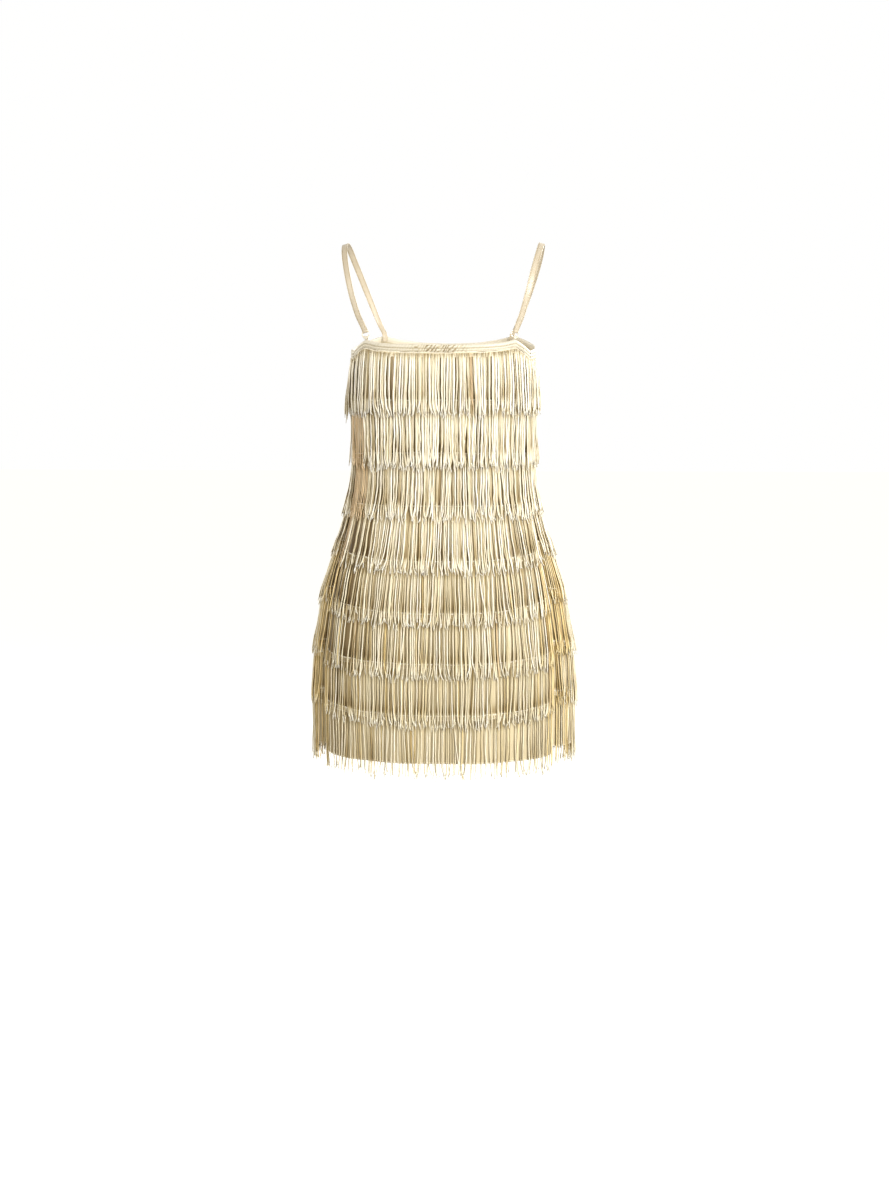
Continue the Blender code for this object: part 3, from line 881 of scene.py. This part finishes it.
def shape_cords(trim, cords, rng):
    """Half the width and half the thickness of the cords' rings, and how far each has twisted."""
    each = (cords.count, 1)
    wide = trim.width / 2 * MM * rng.uniform(0.8, 1.15, each)
    wide = wide * np.where(cords.parted, 0.5, np.where(cords.sunken, 1.2, 1.0))
    wide = wide * (1 + 0.06 * np.sin(2 * math.pi * cords.fallen / (11 * MM) + cords.phase))
    wide = wide * np.interp(CORD_DOWN, [0, 0.05, 0.93, 1.0], [0.75, 1.0, 1.0, 0.72])
    turned = rng.uniform(-0.35, 0.35, each) + rng.normal(0, 0.6, each) * CORD_DOWN
    turned = turned + 0.25 * np.sin(2 * math.pi * cords.fallen / (31 * MM) + cords.phase)
    return wide, wide * trim.thick / trim.width, turned


def tint_cords(trim, cords, rng):
    """How far each cord's colour leans from ivory to straw, to gold by the seams, which is painted shade, and
    to tan in a parting, which is partly painted shade.
    """
    straw = trim.straw + rng.normal(0, 0.13, cords.count)
    further = rng.uniform(size=cords.count) < 0.08
    straw = straw + np.where(further, rng.uniform(0.15, 0.4, cords.count), 0)
    # Gold here is painted shade for the hollow along the side seam.
    straw = np.where(cords.seam_shaded, 0.84 + rng.normal(0, 0.05, cords.count), straw)
    # The tan of the strands left in a parting is partly painted shade.
    return np.where(cords.parted[:, 0], 1.2, straw)


def light_cords(row, cords, turned, rng):
    """The light on each point of the cords. It reaches their outer side, and less of it the flanks, the cords
    behind, those in a fold, and their heads under the row above."""
    angle = 2 * math.pi * np.arange(CORD_SIDES) / CORD_SIDES
    around = np.interp(np.sin(angle + turned[..., None]), *zip(*LIGHT_ROUND))
    light = 0.68 + 0.34 * np.clip(cords.layer * 1.3, 0, 1)
    patch = np.sin(cords.fallen / (19 * MM) + 2.3 * np.sin(cords.way / (23 * MM)) + cords.phase)
    light = light * (0.93 + 0.07 * patch)
    over_tape = np.interp(cords.to_tape, [0.95, 1.02], [0, 1])
    dim = rng.uniform(0.42, 0.82, (cords.count, 1))
    light = np.where(cords.sunken, dim * (1 - over_tape) + 0.85 * over_tape, light)
    light = light * (1 - cords.shaded * (1.1 - cords.on_top))
    light = np.where(cords.parted, 1.15, light)
    tips = (TRIMS[row - 1].reach if row else 1.5) * MM
    past, left = np.array(HEAD_SHADOW).T
    light = light * np.interp(cords.fallen - tips, past * MM, left)
    # Just above the next tape the cords stand off the cloth, and the gaps between them are darker.
    gap = np.interp(cords.to_tape, [0, 0.35, 0.9, 1.0, 1.06], [1.0, 1.0, 0.72, 0.75, 1.0])
    return 1 - (1 - around * light[..., None]) / gap[..., None] ** 1.2


def fray_cords(cords, rng):
    """The fine tails that the cut ends come loose into: which cord each is of, its length, and the tubes."""
    owner = np.repeat(np.arange(cords.count), rng.integers(1, 3, cords.count))
    each = (len(owner), 1, 1)
    t = np.linspace(0, 1, TAIL_RINGS)[None, :, None]
    root, tip, out = cords.path[owner, -3], cords.path[owner, -1], cords.out[owner, -1]
    run = unit(tip - root)
    aside = np.cross(out, run)
    flare = rng.normal(0, 1.7, each) * MM
    lift = rng.uniform(-0.2, 0.9, each) * MM
    fall = rng.uniform(5.5, 10.5, each) * MM
    curl = np.sin(t * rng.uniform(3, 7, each) + rng.uniform(0, 6.28, each)) * 0.35 * MM * t
    start_at = rng.uniform(0.45, 0.95, each)
    path = root[:, None] + (tip - root)[:, None] * start_at + run[:, None] * fall * t
    path = path + aside[:, None] * (flare * t**1.4 + curl) + out[:, None] * lift * t
    wide = np.linspace(0.85, 0.5, TAIL_RINGS)[None] * MM * rng.uniform(0.75, 1.2, (len(owner), 1))
    out = np.repeat(out[:, None], TAIL_RINGS, axis=1)
    return owner, fall.ravel(), tubes(path, out, wide, wide, np.zeros((len(owner), TAIL_RINGS)), TAIL_SIDES)


def strip_maps(first, count, strips, rings, sides, length):
    """Two maps for a set of tubes: one runs round a tube and down it in plaits, the other gives each its own
    strip. Both follow the order of the walls and then of the ends."""
    tube = first + np.arange(count)
    shape = (count, rings - 1, sides, 4)
    u = (np.arange(sides)[None, None, :, None] + np.array([0, 1, 1, 0])) / sides
    v = (np.arange(rings - 1)[None, :, None, None] + np.array([0, 0, 1, 1])) / (rings - 1)
    u, v = np.broadcast_to(u, shape), np.broadcast_to(v, shape)
    plaits = np.stack([u * 2, v * (length / PLAIT)[:, None, None, None]], axis=-1).reshape(-1, 2)
    strip = (tube[:, None, None, None] + 0.06 + 0.88 * u) / strips
    laid = np.stack([strip, 0.02 + 0.96 * v], axis=-1).reshape(-1, 2)
    angle = 2 * math.pi * np.arange(sides) / sides
    end_u = (tube[:, None] + 0.5 + 0.4 * np.cos(angle)) / strips
    ends = []
    for middle in (0.008, 0.992):
        ends.append(np.stack([end_u, middle + 0.006 * np.sin(angle) + 0 * end_u], axis=-1).reshape(-1, 2))
    ends = np.concatenate(ends)
    return np.concatenate([plaits, ends]), np.concatenate([laid, ends])


def make_cords(panel, row, trim, table, half_way, rng):
    """All the cords of a row, from the tape to their ragged tips."""
    cords = spread_cords(panel, row, trim, table, half_way, rng)
    hang_cords(panel, trim, cords, table, half_way, rng)
    wide, thick, turned = shape_cords(trim, cords, rng)
    places, walls, ends = tubes(cords.path, cords.out, wide, thick, turned, CORD_SIDES)
    straw = tint_cords(trim, cords, rng)
    tint = straw[:, None, None] - 0.08 * np.clip((CORD_DOWN[..., None] - 0.85) / 0.15, 0, 1)
    tint = np.broadcast_to(tint, places.shape[:3])
    light = light_cords(row, cords, turned, rng)
    owner, fall, tails = fray_cords(cords, rng)
    tail_shape = tails[0].shape[:3]
    tail_tint = np.broadcast_to(straw[owner][:, None, None] - 0.1, tail_shape)
    tail_light = np.broadcast_to(rng.uniform(0.9, 1.1, (len(owner), 1, 1)), tail_shape)

    places, faces = with_tubes(places.reshape(-1, 3), walls.tolist() + ends.tolist(), tails)
    piece = new_piece(f"fringe_{panel.name}_{row + 1}_cords", places, faces, yarn)
    for name, cord_values, tail_values in (("tint", tint, tail_tint), ("shade", light, tail_light)):
        values = np.concatenate([cord_values.ravel(), tail_values.ravel()])
        mark(piece, name, np.clip(values, 0, 1))
    strips = cords.count + len(owner)
    cord_maps = strip_maps(0, cords.count, strips, CORD_RINGS, CORD_SIDES, cords.length[:, 0])
    tail_maps = strip_maps(cords.count, len(owner), strips, TAIL_RINGS, TAIL_SIDES, fall)
    for name, cord_map, tail_map in zip(("yarn", "OFBake"), cord_maps, tail_maps):
        laid = np.concatenate([cord_map, tail_map]).ravel()
        piece.data.uv_layers.new(name=name).data.foreach_set("uv", laid)
    piece.data.uv_layers["yarn"].active = True
    return piece


fringe_pieces = {"back": [], "front": []}
for panel in (BACK, FRONT):
    for row, trim in enumerate(TRIMS):
        rng = np.random.default_rng(100 * (panel is FRONT) + row + 1)
        table = row_ways(panel, head_line(panel, row))
        half_way = np.interp(1, *table)
        for piece in (
            make_tape(panel, row, table, half_way, rng),
            make_cords(panel, row, trim, table, half_way, rng),
        ):
            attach(piece, "root")
            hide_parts(f"fringe_{panel.name}_{row + 1}")
            fringe_pieces[panel.name].append(piece)


# ---- The bindings -----------------------------------------------------------------------------------------
# A satin strip folded over each panel's top edge and stitched through near its lower edge. A second line of
# stitches holds a narrow casing at the fold. At centre back the strip is drawn up in small slanting gathers.
GATHER_HALF = 36 * MM  # how far the gathers reach to each side of centre back
GATHER_LENGTH = 5.6 * MM
GATHER_HEIGHT = 1.25 * MM
BINDING_STEP = {"back": 0.8 * MM, "front": 1.5 * MM}  # finer where the strip is gathered
BINDING_STITCH = 2.6 * MM
BINDING_STITCH_THICK = 0.24 * MM
BINDING_STITCH_LINES = [(-8.35, 1.1), (-4.5, 1.05)]  # above the edge and out from the cloth, in mm

binding_satin = Finish(
    "binding satin", Roughness=0.4, Sheen_Weight=0.3, Sheen_Roughness=0.4, Anisotropic=0.3
)
binding_threads = binding_satin.noise(1.0, 2.0, 0.6, binding_satin.place((500, 500, 2100)))
binding_patches = binding_satin.noise(40.0, 3.0)
binding_colour = binding_satin.mix(binding_patches, (0.66, 0.61, 0.50, 1), (0.75, 0.71, 0.61, 1))
binding_deep = binding_satin.dimmed(binding_colour, binding_satin.attribute("shade"))
binding_satin.feed("Base Color", binding_satin.shaded(binding_deep, 0.9 + 0.18 * binding_threads))
binding_satin.feed("Roughness", 0.3 + 0.2 * binding_patches)
binding_satin.bump(binding_threads, 0.1 * MM, 0.5)

# The strip's folded section, once round: how far out from the cloth's outer face and how far above its edge,
# in mm, and how much light reaches it. It goes up the outer ply, with a groove at each line of stitches, over
# the fold, down the inner ply and back up between them.
Turn = namedtuple("Turn", "proud height light")
STRIP_SECTION = [
    Turn(0.36, -9.4, 0.3),
    Turn(0.7, -9.85, 0.6),
    Turn(1.25, -9.7, 0.9),
    Turn(1.4, -9.1, 1.0),
    Turn(0.9, -8.35, 0.35),
    Turn(1.4, -7.6, 0.95),
    Turn(1.7, -6.5, 1.0),
    Turn(1.5, -5.4, 0.9),
    Turn(0.85, -4.5, 0.25),
    Turn(1.45, -3.7, 0.9),
    Turn(1.85, -2.4, 1.0),
    Turn(1.7, -0.8, 1.0),
    Turn(1.1, 0.6, 1.0),
    Turn(0.3, 1.25, 1.0),
    Turn(-0.5, 1.4, 1.0),
    Turn(-1.3, 1.2, 1.0),
    Turn(-1.95, 0.6, 1.0),
    Turn(-2.2, -0.5, 1.0),
    Turn(-2.3, -3.0, 0.95),
    Turn(-2.2, -6.0, 0.9),
    Turn(-2.0, -8.3, 0.5),
    Turn(-2.25, -9.2, 0.9),
    Turn(-1.8, -9.8, 0.7),
    Turn(-1.4, -9.2, 0.4),
    Turn(-1.34, -6.0, 0.3),
    Turn(-1.34, -2.0, 0.3),
    Turn(-1.3, -0.2, 0.3),
    Turn(-0.5, 0.34, 0.3),
    Turn(0.25, 0.3, 0.3),
    Turn(0.36, -0.4, 0.3),
    Turn(0.36, -5.0, 0.3),
]


def make_binding(panel, rng):
    """The strip's section swept along the panel's edge, gathered at centre back, and its stitches."""
    table = row_ways(panel, lambda share: edge_height(panel, share))
    half_way = np.interp(1, *table) - 0.6 * MM
    way = np.append(np.arange(-half_way, half_way, BINDING_STEP[panel.name]), half_way)
    share = share_of(way, table)
    drawn_up = np.exp(-((way / GATHER_HALF) ** 4)) * (panel is BACK)
    gather = drawn_up * (0.75 + swayed([Wave(17, 0.25, 0), Wave(27, 0.25, 0)], way, 0.0, rng) / MM) + 0.14
    uneven = swayed([Wave(9, 0.7, 0), Wave(16, 1.3, 0), Wave(31, 1.6, 0)], way, 0.0, rng) / MM
    edge = edge_height(panel, share)
    rows, light = [], []
    for turn in STRIP_SECTION:
        slant = way + 0.75 * turn.height * MM
        pleat = np.sin(2 * math.pi * slant / GATHER_LENGTH + uneven)
        pleat = np.sign(pleat) * np.abs(pleat) ** 0.7
        # The outer ply is gathered, less so at its stitches, and the inner ply a little.
        outer = 1.0 if turn.proud > 0.4 else (0.35 if turn.proud < -1.4 else 0.0)
        pinned = 0.45 if turn.light < 0.5 else 1.0
        bulge = gather * outer * pinned * (GATHER_HEIGHT * (0.35 + 0.65 * pleat) + 0.12 * MM * uneven)
        at, out = cloth_at(panel, share, edge + turn.height * MM)
        place = at + out * (turn.proud * MM + bulge)[:, None]
        place[:, 2] += np.clip(turn.height + 5, 0, 2) / 2 * drawn_up * 0.45 * pleat * MM
        rows.append(place)
        hidden = 0.8 * np.clip(gather, 0, 1) * np.clip(0.15 - pleat, 0, 1) * (outer > 0.5)
        light.append(turn.light * (1 - hidden))
    places = np.array(rows)  # turn, column, xyz
    point = np.arange(places[..., 0].size).reshape(places.shape[:2])
    above = np.roll(point, -1, axis=0)
    walls = np.stack([point[:, :-1], point[:, 1:], above[:, 1:], above[:, :-1]], axis=-1).reshape(-1, 4)
    ends = [point[::-1, 0].tolist(), point[:, -1].tolist()]
    if panel is FRONT:
        walls = walls[:, ::-1]
        ends = [end[::-1] for end in ends]
    places, faces = places.reshape(-1, 3), walls.tolist() + ends

    count = int(2 * half_way / BINDING_STITCH)
    for height, proud in BINDING_STITCH_LINES:
        middle = (np.arange(count) + 0.5) * (2 * half_way / count) - half_way
        steps = np.linspace(-0.4, 0.4, 4) * BINDING_STITCH
        share = share_of(middle[:, None] + steps, table)
        bow = 1 - np.linspace(-1, 1, 4) ** 2
        near = np.interp(middle, way, gather)[:, None]
        at, out = cloth_at(panel, share, edge_height(panel, share) + height * MM)
        raised = (proud - 0.35) * MM + 0.35 * MM * bow + near * 0.35 * GATHER_HEIGHT * 0.5
        thick = np.full(share.shape, BINDING_STITCH_THICK) * np.array([0.6, 1, 1, 0.6])
        path = at + out * raised[..., None]
        made = tubes(path, out, thick, thick, np.zeros(share.shape), STITCH_SIDES)
        places, faces = with_tubes(places, faces, made)
    piece = new_piece(panel.name + "_binding_strip", places, faces, binding_satin)
    mark(piece, "shade", light)
    return piece


for panel in (BACK, FRONT):
    piece = make_binding(panel, np.random.default_rng(41 + (panel is FRONT)))
    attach(piece, "root")
    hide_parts(panel.name + "_binding")


# ---- The straps, their rings and tabs ---------------------------------------------------------------------
# Each strap is a flat tube of satin, topstitched along both edges. It turns round a coated ring at the back,
# and its other end is caught inside the front binding. A short tab holds the ring to the back binding.
RING_RADIUS = 5.8 * MM
RING_WIRE = 0.9 * MM
RING_ABOVE_EDGE = 9.8 * MM
RING_SHARE = 0.72  # of the way from centre back to the seam
RING_TURN = math.radians(19)  # how far to the side it faces
LOOP_ROOM = 0.7 * MM  # between the wire and the cloth that turns round it
STRAP_WIDTH = 9.5 * MM
STRAP_WIDTH_AT_RING = 8.0 * MM
STRAP_CLOTH = 1.0 * MM
STRAP_INSET = 0.9 * MM
FRONT_STRAP_SHARE = 0.39  # of the way from centre front to the seam
BINDING_CLOTH = 0.9 * MM
TAB_WIDTH = 5.2 * MM
TAB_CLOTH = 0.6 * MM
TAB_INSET = 1.5 * MM

# Middle of the left strap from above its ring, over the shoulder, to above the front binding, in mm.
STRAP_ROUTE = [
    (125.5, 73.5, -108),
    (134, 77.5, -78),
    (141.5, 70, -46),
    (147.5, 49, -20),
    (150.5, 25, -5),
    (151, 0, -0.5),
    (149.5, -25, -6),
    (145, -48, -23),
    (135.5, -70, -52),
    (123, -84, -87),
    (109, -90.5, -122),
]
# A flat tube's section: across as a share of its half width, out as a share of its half thickness, and how
# much light reaches it. A line of stitches sinks in along each edge.
Fold = namedtuple("Fold", "across out light")
RIBBON_SIDE = [
    Fold(0.97, 0.62, 1.0),
    Fold(0.88, 0.98, 1.0),
    Fold(0.80, 0.98, 0.9),
    Fold(0.73, 0.60, 0.35),
    Fold(0.66, 0.98, 0.9),
    Fold(0.34, 1.0, 1.0),
]
RIBBON_SECTION = [
    Fold(-1.0, 0.0, 0.9),
    *[Fold(-fold.across, fold.out, fold.light) for fold in RIBBON_SIDE],
    Fold(0.0, 1.0, 1.0),
    *RIBBON_SIDE[::-1],
    Fold(1.0, 0.0, 0.9),
    *[Fold(fold.across, -fold.out, fold.light) for fold in RIBBON_SIDE],
    Fold(0.0, -1.0, 1.0),
    *[Fold(-fold.across, -fold.out, fold.light) for fold in RIBBON_SIDE[::-1]],
]

strap_satin = Finish(
    "strap satin", Roughness=0.34, Sheen_Weight=0.25, Sheen_Roughness=0.4, Anisotropic=0.4
)
strap_threads = strap_satin.noise(1.0, 2.0, 0.6, strap_satin.place((2300, 2300, 260)))
strap_patches = strap_satin.noise(60.0, 3.0)
strap_colour = strap_satin.mix(strap_patches, (0.55, 0.47, 0.35, 1), (0.64, 0.57, 0.45, 1))
strap_deep = strap_satin.dimmed(strap_colour, strap_satin.attribute("shade"))
strap_satin.feed("Base Color", strap_satin.shaded(strap_deep, 0.88 + 0.22 * strap_threads))
strap_satin.feed("Roughness", 0.26 + 0.2 * strap_patches)
strap_satin.bump(strap_threads, 0.08 * MM, 0.5)

ring_enamel = Finish("ring enamel", Roughness=0.22, Coat_Weight=0.6, Coat_Roughness=0.12)
ring_wear = ring_enamel.noise(420.0, 3.0, 0.6)
ring_enamel.feed("Base Color", ring_enamel.mix(ring_wear, (0.80, 0.70, 0.52, 1), (0.87, 0.80, 0.64, 1)))
ring_enamel.feed("Roughness", 0.16 + 0.2 * ring_wear)
ring_enamel.bump(ring_wear, 0.03 * MM, 0.3)


def smooth_route(stations, per_span):
    """A smooth curve through stations (place, across and half width together), with more between them."""
    stations = np.array(stations)
    ends = np.concatenate([[2 * stations[0] - stations[1]], stations, [2 * stations[-1] - stations[-2]]])
    found = []
    for a, b, c, d in zip(ends, ends[1:], ends[2:], ends[3:]):
        for t in np.linspace(0, 1, per_span, endpoint=False):
            square = (2 * a - 5 * b + 4 * c - d) * t**2
            cube = (3 * b - a - 3 * c + d) * t**3
            found.append(0.5 * (2 * b + (c - a) * t + square + cube))
    return np.array(found + [stations[-1]])


def ribbon(name, stations, thickness, per_span, finish, mirror):
    """A flat tube along its stations, or its mirror image on the wearer's right."""
    route = smooth_route(stations, per_span)
    place, across, half = route[:, :3], route[:, 3:6], route[:, 6:7]
    along = unit(np.gradient(place, axis=0))
    across = unit(across - along * (across * along).sum(-1, keepdims=True))
    out = np.cross(along, across)
    section = np.array(RIBBON_SECTION)[:, :2]
    places = (
        place[:, None]
        + across[:, None] * (half * section[:, 0])[..., None]
        + out[:, None] * (thickness / 2 * section[:, 1])[None, :, None]
    )
    point = np.arange(places[..., 0].size).reshape(places.shape[:2])
    after = np.roll(point, -1, axis=1)
    walls = np.stack([point[:-1], point[1:], after[1:], after[:-1]], axis=-1).reshape(-1, 4)
    ends = [point[0].tolist(), point[-1, ::-1].tolist()]
    if mirror:
        places[..., 0] *= -1
        walls = walls[:, ::-1]
        ends = [end[::-1] for end in ends]
    piece = new_piece(name, places, walls.tolist() + ends, finish)
    mark(piece, "shade", np.tile([fold.light for fold in RIBBON_SECTION], len(places)))
    return piece


def station(place, across, half):
    """A point of a ribbon's route, the way across the ribbon there, and half its width."""
    return np.concatenate([place, across, [half]])


up_z = np.array([0, 0, 1.0])
ring_edge_height = np.interp(RING_SHARE, *zip(*BACK_EDGE)) * MM
(ring_edge,), (ring_out,) = cloth_at(BACK, [RING_SHARE], [ring_edge_height], creased=False)
ring_centre = ring_edge - ring_out * CLOTH / 2 + up_z * RING_ABOVE_EDGE
ring_facing = np.array([math.sin(RING_TURN), math.cos(RING_TURN), 0])

route = np.array(STRAP_ROUTE) * MM
strap_pull = route[0] - ring_centre
strap_rise = unit(strap_pull - ring_facing * (strap_pull @ ring_facing))
strap_wire = ring_centre + strap_rise * RING_RADIUS
strap_up = unit(route[0] - strap_wire)
strap_out = unit(ring_facing - strap_up * (ring_facing @ strap_up))
strap_across = np.cross(strap_up, strap_out)
strap_round = RING_WIRE + LOOP_ROOM + STRAP_CLOTH / 2
half = STRAP_WIDTH_AT_RING / 2
strap_drop = RING_RADIUS - math.sqrt(RING_RADIUS**2 - half**2)  # how far the ring curves away under its edges
# The short end hangs inside, the strap turns under the wire, and its long run goes over the shoulder.
strap_stations = [
    station(strap_wire + strap_up * 13 * MM - strap_out * 1.6 * MM, strap_across, half),
    station(strap_wire + strap_up * 4 * MM - strap_out * 1.8 * MM, strap_across, half),
]
for degrees in range(180, 361, 30):
    angle = math.radians(degrees)
    aside = ring_facing * math.cos(angle) * strap_round
    below = strap_rise * math.sin(angle) * (strap_round + strap_drop)
    strap_stations.append(station(strap_wire + aside + below, strap_across, half))
strap_stations.append(station(strap_wire + strap_up * 4 * MM + strap_out * 1.5 * MM, strap_across, half))
strap_stations.append(
    station(strap_wire + strap_up * 13 * MM + strap_out * 0.4 * MM, strap_across, STRAP_WIDTH / 2)
)
front_edge_height = np.interp(FRONT_STRAP_SHARE, *zip(*FRONT_EDGE)) * MM
(front_edge,), (front_out,) = cloth_at(FRONT, [FRONT_STRAP_SHARE], [front_edge_height], creased=False)
front_across = np.cross(front_out, up_z)
over_across = unit(np.array([-1, 0, 0.3]))
for i, place in enumerate(route):
    share = i / (len(route) - 1)
    if share < 0.5:
        turned = strap_across + (over_across - strap_across) * 2 * share
    else:
        turned = over_across + (front_across - over_across) * (2 * share - 1)
    strap_stations.append(station(place, turned, STRAP_WIDTH / 2))
behind = CLOTH + GAP + BINDING_CLOTH + GAP + STRAP_INSET + STRAP_CLOTH / 2
for height in (3 * MM, -8 * MM):
    inside = front_edge - front_out * behind + up_z * height
    strap_stations.append(station(inside, front_across, STRAP_WIDTH / 2))

# The tab goes up its far ply, round the ring's wire and down its near ply. Each point of its route is how far
# out from the edge and how high it lies.
tab_half = TAB_WIDTH / 2
tab_wire = RING_ABOVE_EDGE - RING_RADIUS
tab_rise = RING_RADIUS - math.sqrt(RING_RADIUS**2 - tab_half**2)
tab_round = RING_WIRE + LOOP_ROOM + TAB_CLOTH / 2
near_ply = -(CLOTH / 2 + GAP + BINDING_CLOTH + GAP + TAB_INSET + TAB_CLOTH / 2)
far_ply = near_ply - TAB_CLOTH - GAP
tab_route = [(far_ply, -7 * MM), (far_ply, 1.5 * MM)]
for degrees in range(180, -91, -30):
    angle = math.radians(degrees)
    high = tab_round + (tab_rise if degrees > 0 else 0)
    tab_route.append((math.cos(angle) * tab_round, tab_wire + math.sin(angle) * high))
tab_route += [
    (near_ply + 0.2 * MM, tab_wire - tab_round - 0.1 * MM),
    (near_ply, 0.8 * MM),
    (near_ply, -7 * MM),
]
tab_across = np.cross(up_z, ring_facing)
tab_foot = ring_edge - ring_out * CLOTH / 2
tab_stations = []
for aside, height in tab_route:
    place = tab_foot + ring_facing * aside + up_z * height
    tab_stations.append(station(place, tab_across, tab_half))

for side, mirror in (("left", False), ("right", True)):
    strap = ribbon(f"strap_{side}_ribbon", strap_stations, STRAP_CLOTH, 7, strap_satin, mirror)
    tab = ribbon(f"ring_tab_{side}_loop", tab_stations, TAB_CLOTH, 4, binding_satin, mirror)
    flip = np.array([-1 if mirror else 1, 1, 1])
    bpy.ops.mesh.primitive_torus_add(
        major_radius=RING_RADIUS,
        minor_radius=RING_WIRE,
        major_segments=72,
        minor_segments=20,
        location=ring_centre * flip,
        rotation=Vector(ring_facing * flip).to_track_quat("Z", "Y").to_euler(),
    )
    ring = bpy.context.object
    ring.name = f"strap_ring_{side}_coated"
    bpy.ops.object.select_all(action="DESELECT")
    ring.select_set(True)
    bpy.ops.object.transform_apply(location=True, rotation=True, scale=True)
    ring.data.shade_smooth()
    ring.data.materials.append(ring_enamel.material)
    for piece, node, slot in (
        (strap, f"strap_{side}", "strap_satin"),
        (tab, f"ring_tab_{side}", "binding_satin"),
        (ring, f"strap_ring_{side}", "ring_enamel"),
    ):
        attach(piece, "root")
        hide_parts(node)


# ---- What was cut -----------------------------------------------------------------------------------------
# The flat sizes of the cloth that shows, measured on the form that it is wrapped round, without its creases.
# A binding is a strip that goes once over the edge, so its width is half the way round its folded section.
def panel_cut(panel):
    """A panel's greatest width and length, and its area."""
    shares = np.linspace(-1, 1, 161)
    top, foot = edge_height(panel, shares), line_height(panel, HEM, shares)
    z = top + (foot - top) * np.linspace(0, 1, 121)[:, None]
    at, _ = cloth_at(panel, shares, z, creased=False)
    across, fall = np.diff(at, axis=1)[:-1], np.diff(at, axis=0)[:, :-1]
    width = np.linalg.norm(across, axis=-1).sum(1).max()
    length = np.linalg.norm(fall, axis=-1).sum(0).max()
    area = np.linalg.norm(np.cross(across, fall), axis=-1).sum()
    return float(width), float(length), float(area)


def binding_cut(panel):
    """A binding strip's length and width."""
    section = np.array([(turn.proud, turn.height) for turn in STRIP_SECTION + STRIP_SECTION[:1]]) * MM
    folded = np.linalg.norm(np.diff(section, axis=0), axis=-1).sum()
    half_way = np.interp(1, *row_ways(panel, lambda share: edge_height(panel, share)))
    return float(2 * half_way), float(folded / 2)


for panel in (BACK, FRONT):
    width, length, area = panel_cut(panel)
    binding_cut(panel)
